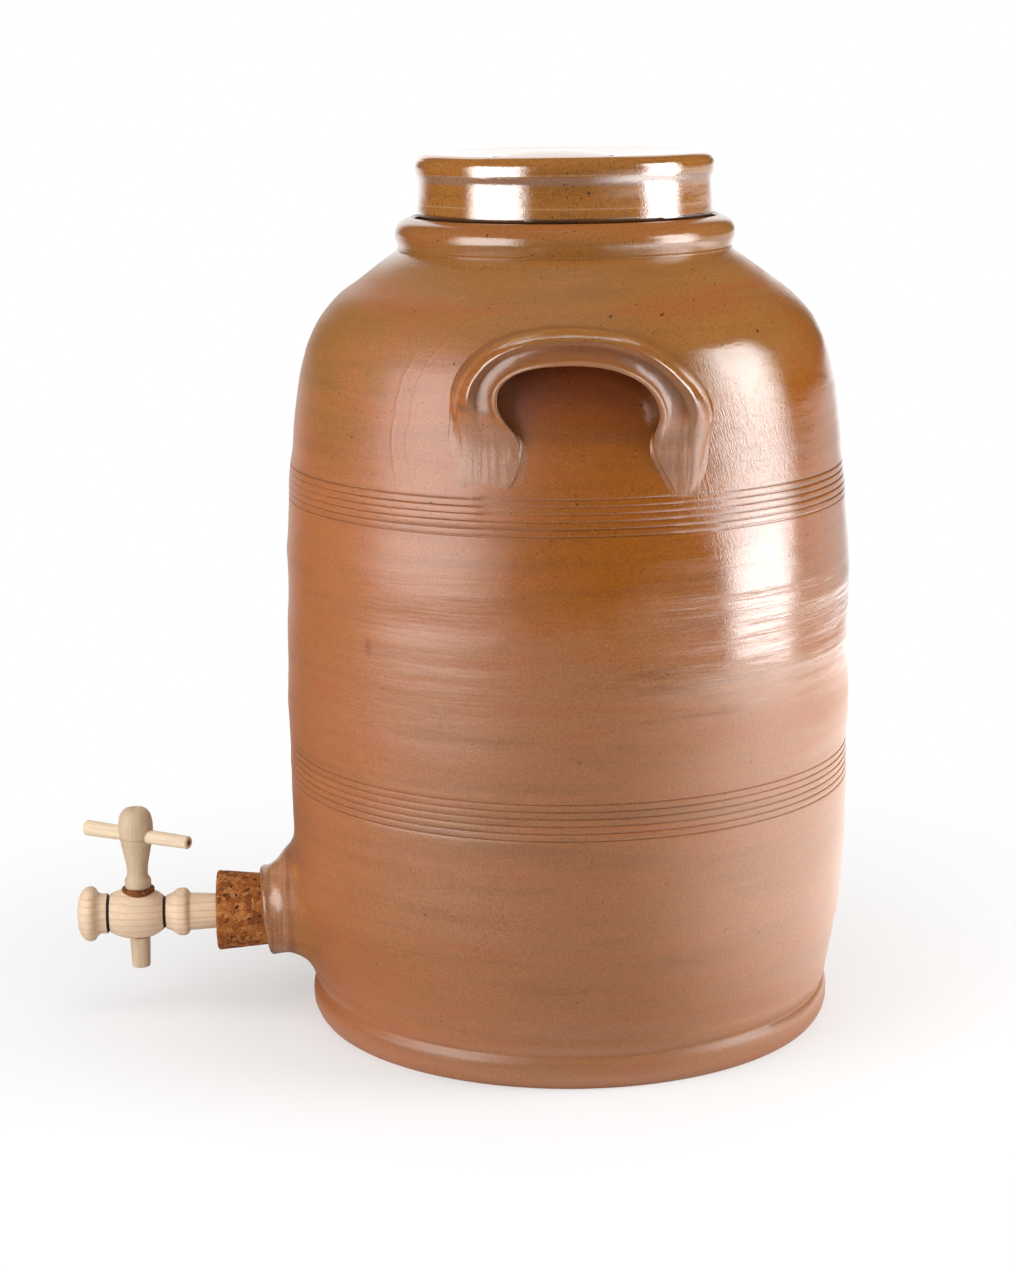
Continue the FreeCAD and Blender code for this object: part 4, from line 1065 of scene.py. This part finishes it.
def make_floor():
    """A wide pale floor with the pot's shadow, plain white to the camera farther out.

    Reflections show it glowing: bright behind and to the right of the pot, dim in front and far off.
    """
    nothing()
    bpy.ops.mesh.primitive_circle_add(vertices=96, radius=FLOOR_RADIUS * MM, fill_type="NGON",
                                      location=(0, 0, 0))
    floor = bpy.context.object
    floor.name = "pale_floor"
    finish, tree, shader = new_finish("pale_floor")
    feed(shader, {"Base Color": FLOOR_GREY, "Roughness": 0.9, "Specular IOR Level": 0.0})

    place = here(tree)
    away = measure("LENGTH", place)
    dim = calc("DIVIDE", measure("DOT_PRODUCT", place, DIM_SIDE), away)
    back = calc("DIVIDE", apart(place)[1], away)
    level = times(between(dim, -0.70, 0.30, 2.6, 0.09),
                  between_mm(away, 600, 1100, 1.0, 0.22),
                  between_mm(away, 140, 260, 0.6, 1.0))
    level = calc("MAXIMUM", level, between(back, 0.72, 0.95, 0.0, 1.1))
    glow, white = [add("Emission", {"Color": WHITE, "Strength": strength}, tree).outputs[0]
                   for strength in (level, 1.0)]
    path = add("LightPath", {}, tree).outputs
    mirrored = times(path["Is Glossy Ray"], between_mm(away, 120, 150))
    seen = times(path["Is Camera Ray"], between_mm(away, 130, 450, 0.40, 1.0))
    surface = shader.outputs[0]
    for share, over in ((mirrored, glow), (seen, white)):
        surface = add("MixShader", {0: share, 1: surface, 2: over}).outputs[0]
    feed(tree.nodes["Material Output"], {"Surface": surface})
    floor.data.materials.append(finish)


def lamp_box(name, azimuth, distance, height, width, length, radiance):
    """A rectangular lamp that faces the pot; radiance is what each square metre gives off."""
    lamp = bpy.data.lights.new(name, "AREA")
    lamp.shape = "RECTANGLE"
    lamp.size = width
    lamp.size_y = length
    lamp.energy = radiance * math.pi * width * length
    holder = bpy.data.objects.new(name, lamp)
    bpy.context.scene.collection.objects.link(holder)
    holder.visible_glossy = name.endswith("soft_box")
    turn = math.radians(azimuth)
    place = Vector((math.sin(turn) * distance, -math.cos(turn) * distance, height))
    holder.location = place
    aim = Vector((0, 0, height if distance > OVERHEAD_DISTANCE else OVERHEAD_AIM))
    holder.rotation_euler = (aim - place).to_track_quat("-Z", "Y").to_euler()


def make_world():
    """White to the camera, mid grey as light, and dim in reflections but for a patch behind the pot."""
    world = bpy.data.worlds.new("studio")
    world.use_nodes = True
    bpy.context.scene.world = world
    tree = world.node_tree
    plain = tree.nodes["Background"]
    x, y, _ = apart(add("TexCoord", {}, tree).outputs["Generated"])
    patch = times(between(y, 0.45, 0.70), between(calc("ABSOLUTE", x), 0.44, 0.22))
    mirrored = between(patch, 0.0, 1.0, 0.04, 1.15)
    path = add("LightPath", {}, tree).outputs
    level = add("Mix", {0: path["Is Glossy Ray"], 2: 0.48, 3: mirrored}).outputs[0]
    feed(plain, {"Color": WHITE, "Strength": level})
    white = add("Background", {"Color": WHITE, "Strength": 1.0}, tree)
    mixed = add("MixShader", {0: path["Is Camera Ray"], 1: plain.outputs[0], 2: white.outputs[0]})
    feed(tree.nodes["World Output"], {"Surface": mixed.outputs[0]})


def make_camera():
    """A long lens from the front, turned, tilted and rolled a little."""
    azimuth = math.radians(CAMERA_AZIMUTH)
    place = Vector((math.sin(azimuth), -math.cos(azimuth), 0)) * CAMERA_DISTANCE
    place.z = CAMERA_HEIGHT
    data = bpy.data.cameras.new("camera")
    data.sensor_width = SENSOR
    data.lens = FOCAL_PIXELS * SENSOR / IMAGE_HEIGHT
    data.clip_start, data.clip_end = CLIP_METRES
    camera = bpy.data.objects.new("camera", data)
    bpy.context.scene.collection.objects.link(camera)
    turn = Matrix.Rotation(azimuth + math.radians(CAMERA_YAW), 4, "Z")
    tilt = Matrix.Rotation(math.radians(90 - CAMERA_PITCH), 4, "X")
    roll = Matrix.Rotation(-math.radians(CAMERA_ROLL), 4, "Z")
    camera.matrix_world = Matrix.Translation(place * MM) @ turn @ tilt @ roll
    bpy.context.scene.camera = camera


make_camera()
make_world()
make_floor()
for lamp_name, lamp_values in LAMPS.items():
    lamp_box(lamp_name, *lamp_values)

make_jar(stoneware("salt_glaze_wall", "wall", wall_colour, wall_glaze))
make_lugs(stoneware("salt_glaze_lug", "lug", lug_colour, lug_glaze))
make_lid(stoneware("salt_glaze_lid", "lid", lid_colour), stoneware("salt_glaze_knob", "knob", knob_colour))
make_boss(stoneware("salt_glaze_boss", "boss", boss_colour, boss_glaze))
make_bung(pressed_cork("pressed_cork"))
make_tap(
    turned_wood("barrel_wood", "x", light=(0.78, 0.58, 0.40), line_colour=(0.56, 0.33, 0.18), period=3.1,
                strength=0.42, burnt=[(start - KEY_REACH, end - KEY_REACH) for start, end in BURNT_RINGS]),
    pressed_cork("sleeve_cork", grain=1.4, lightness=0.6),
    turned_wood("key_wood", "z", light=(0.60, 0.45, 0.30), line_colour=(0.50, 0.35, 0.22), period=4.6,
                strength=0.45),
    turned_wood("crossbar_wood", "x", light=(0.74, 0.59, 0.41), line_colour=(0.60, 0.42, 0.26), period=3.0,
                strength=0.4, turn=KEY_TURN, pith=PITH_PLACE),
)

bpy.context.scene.view_settings.view_transform = "Standard"
only(bpy.data.objects["thrown_jar"])
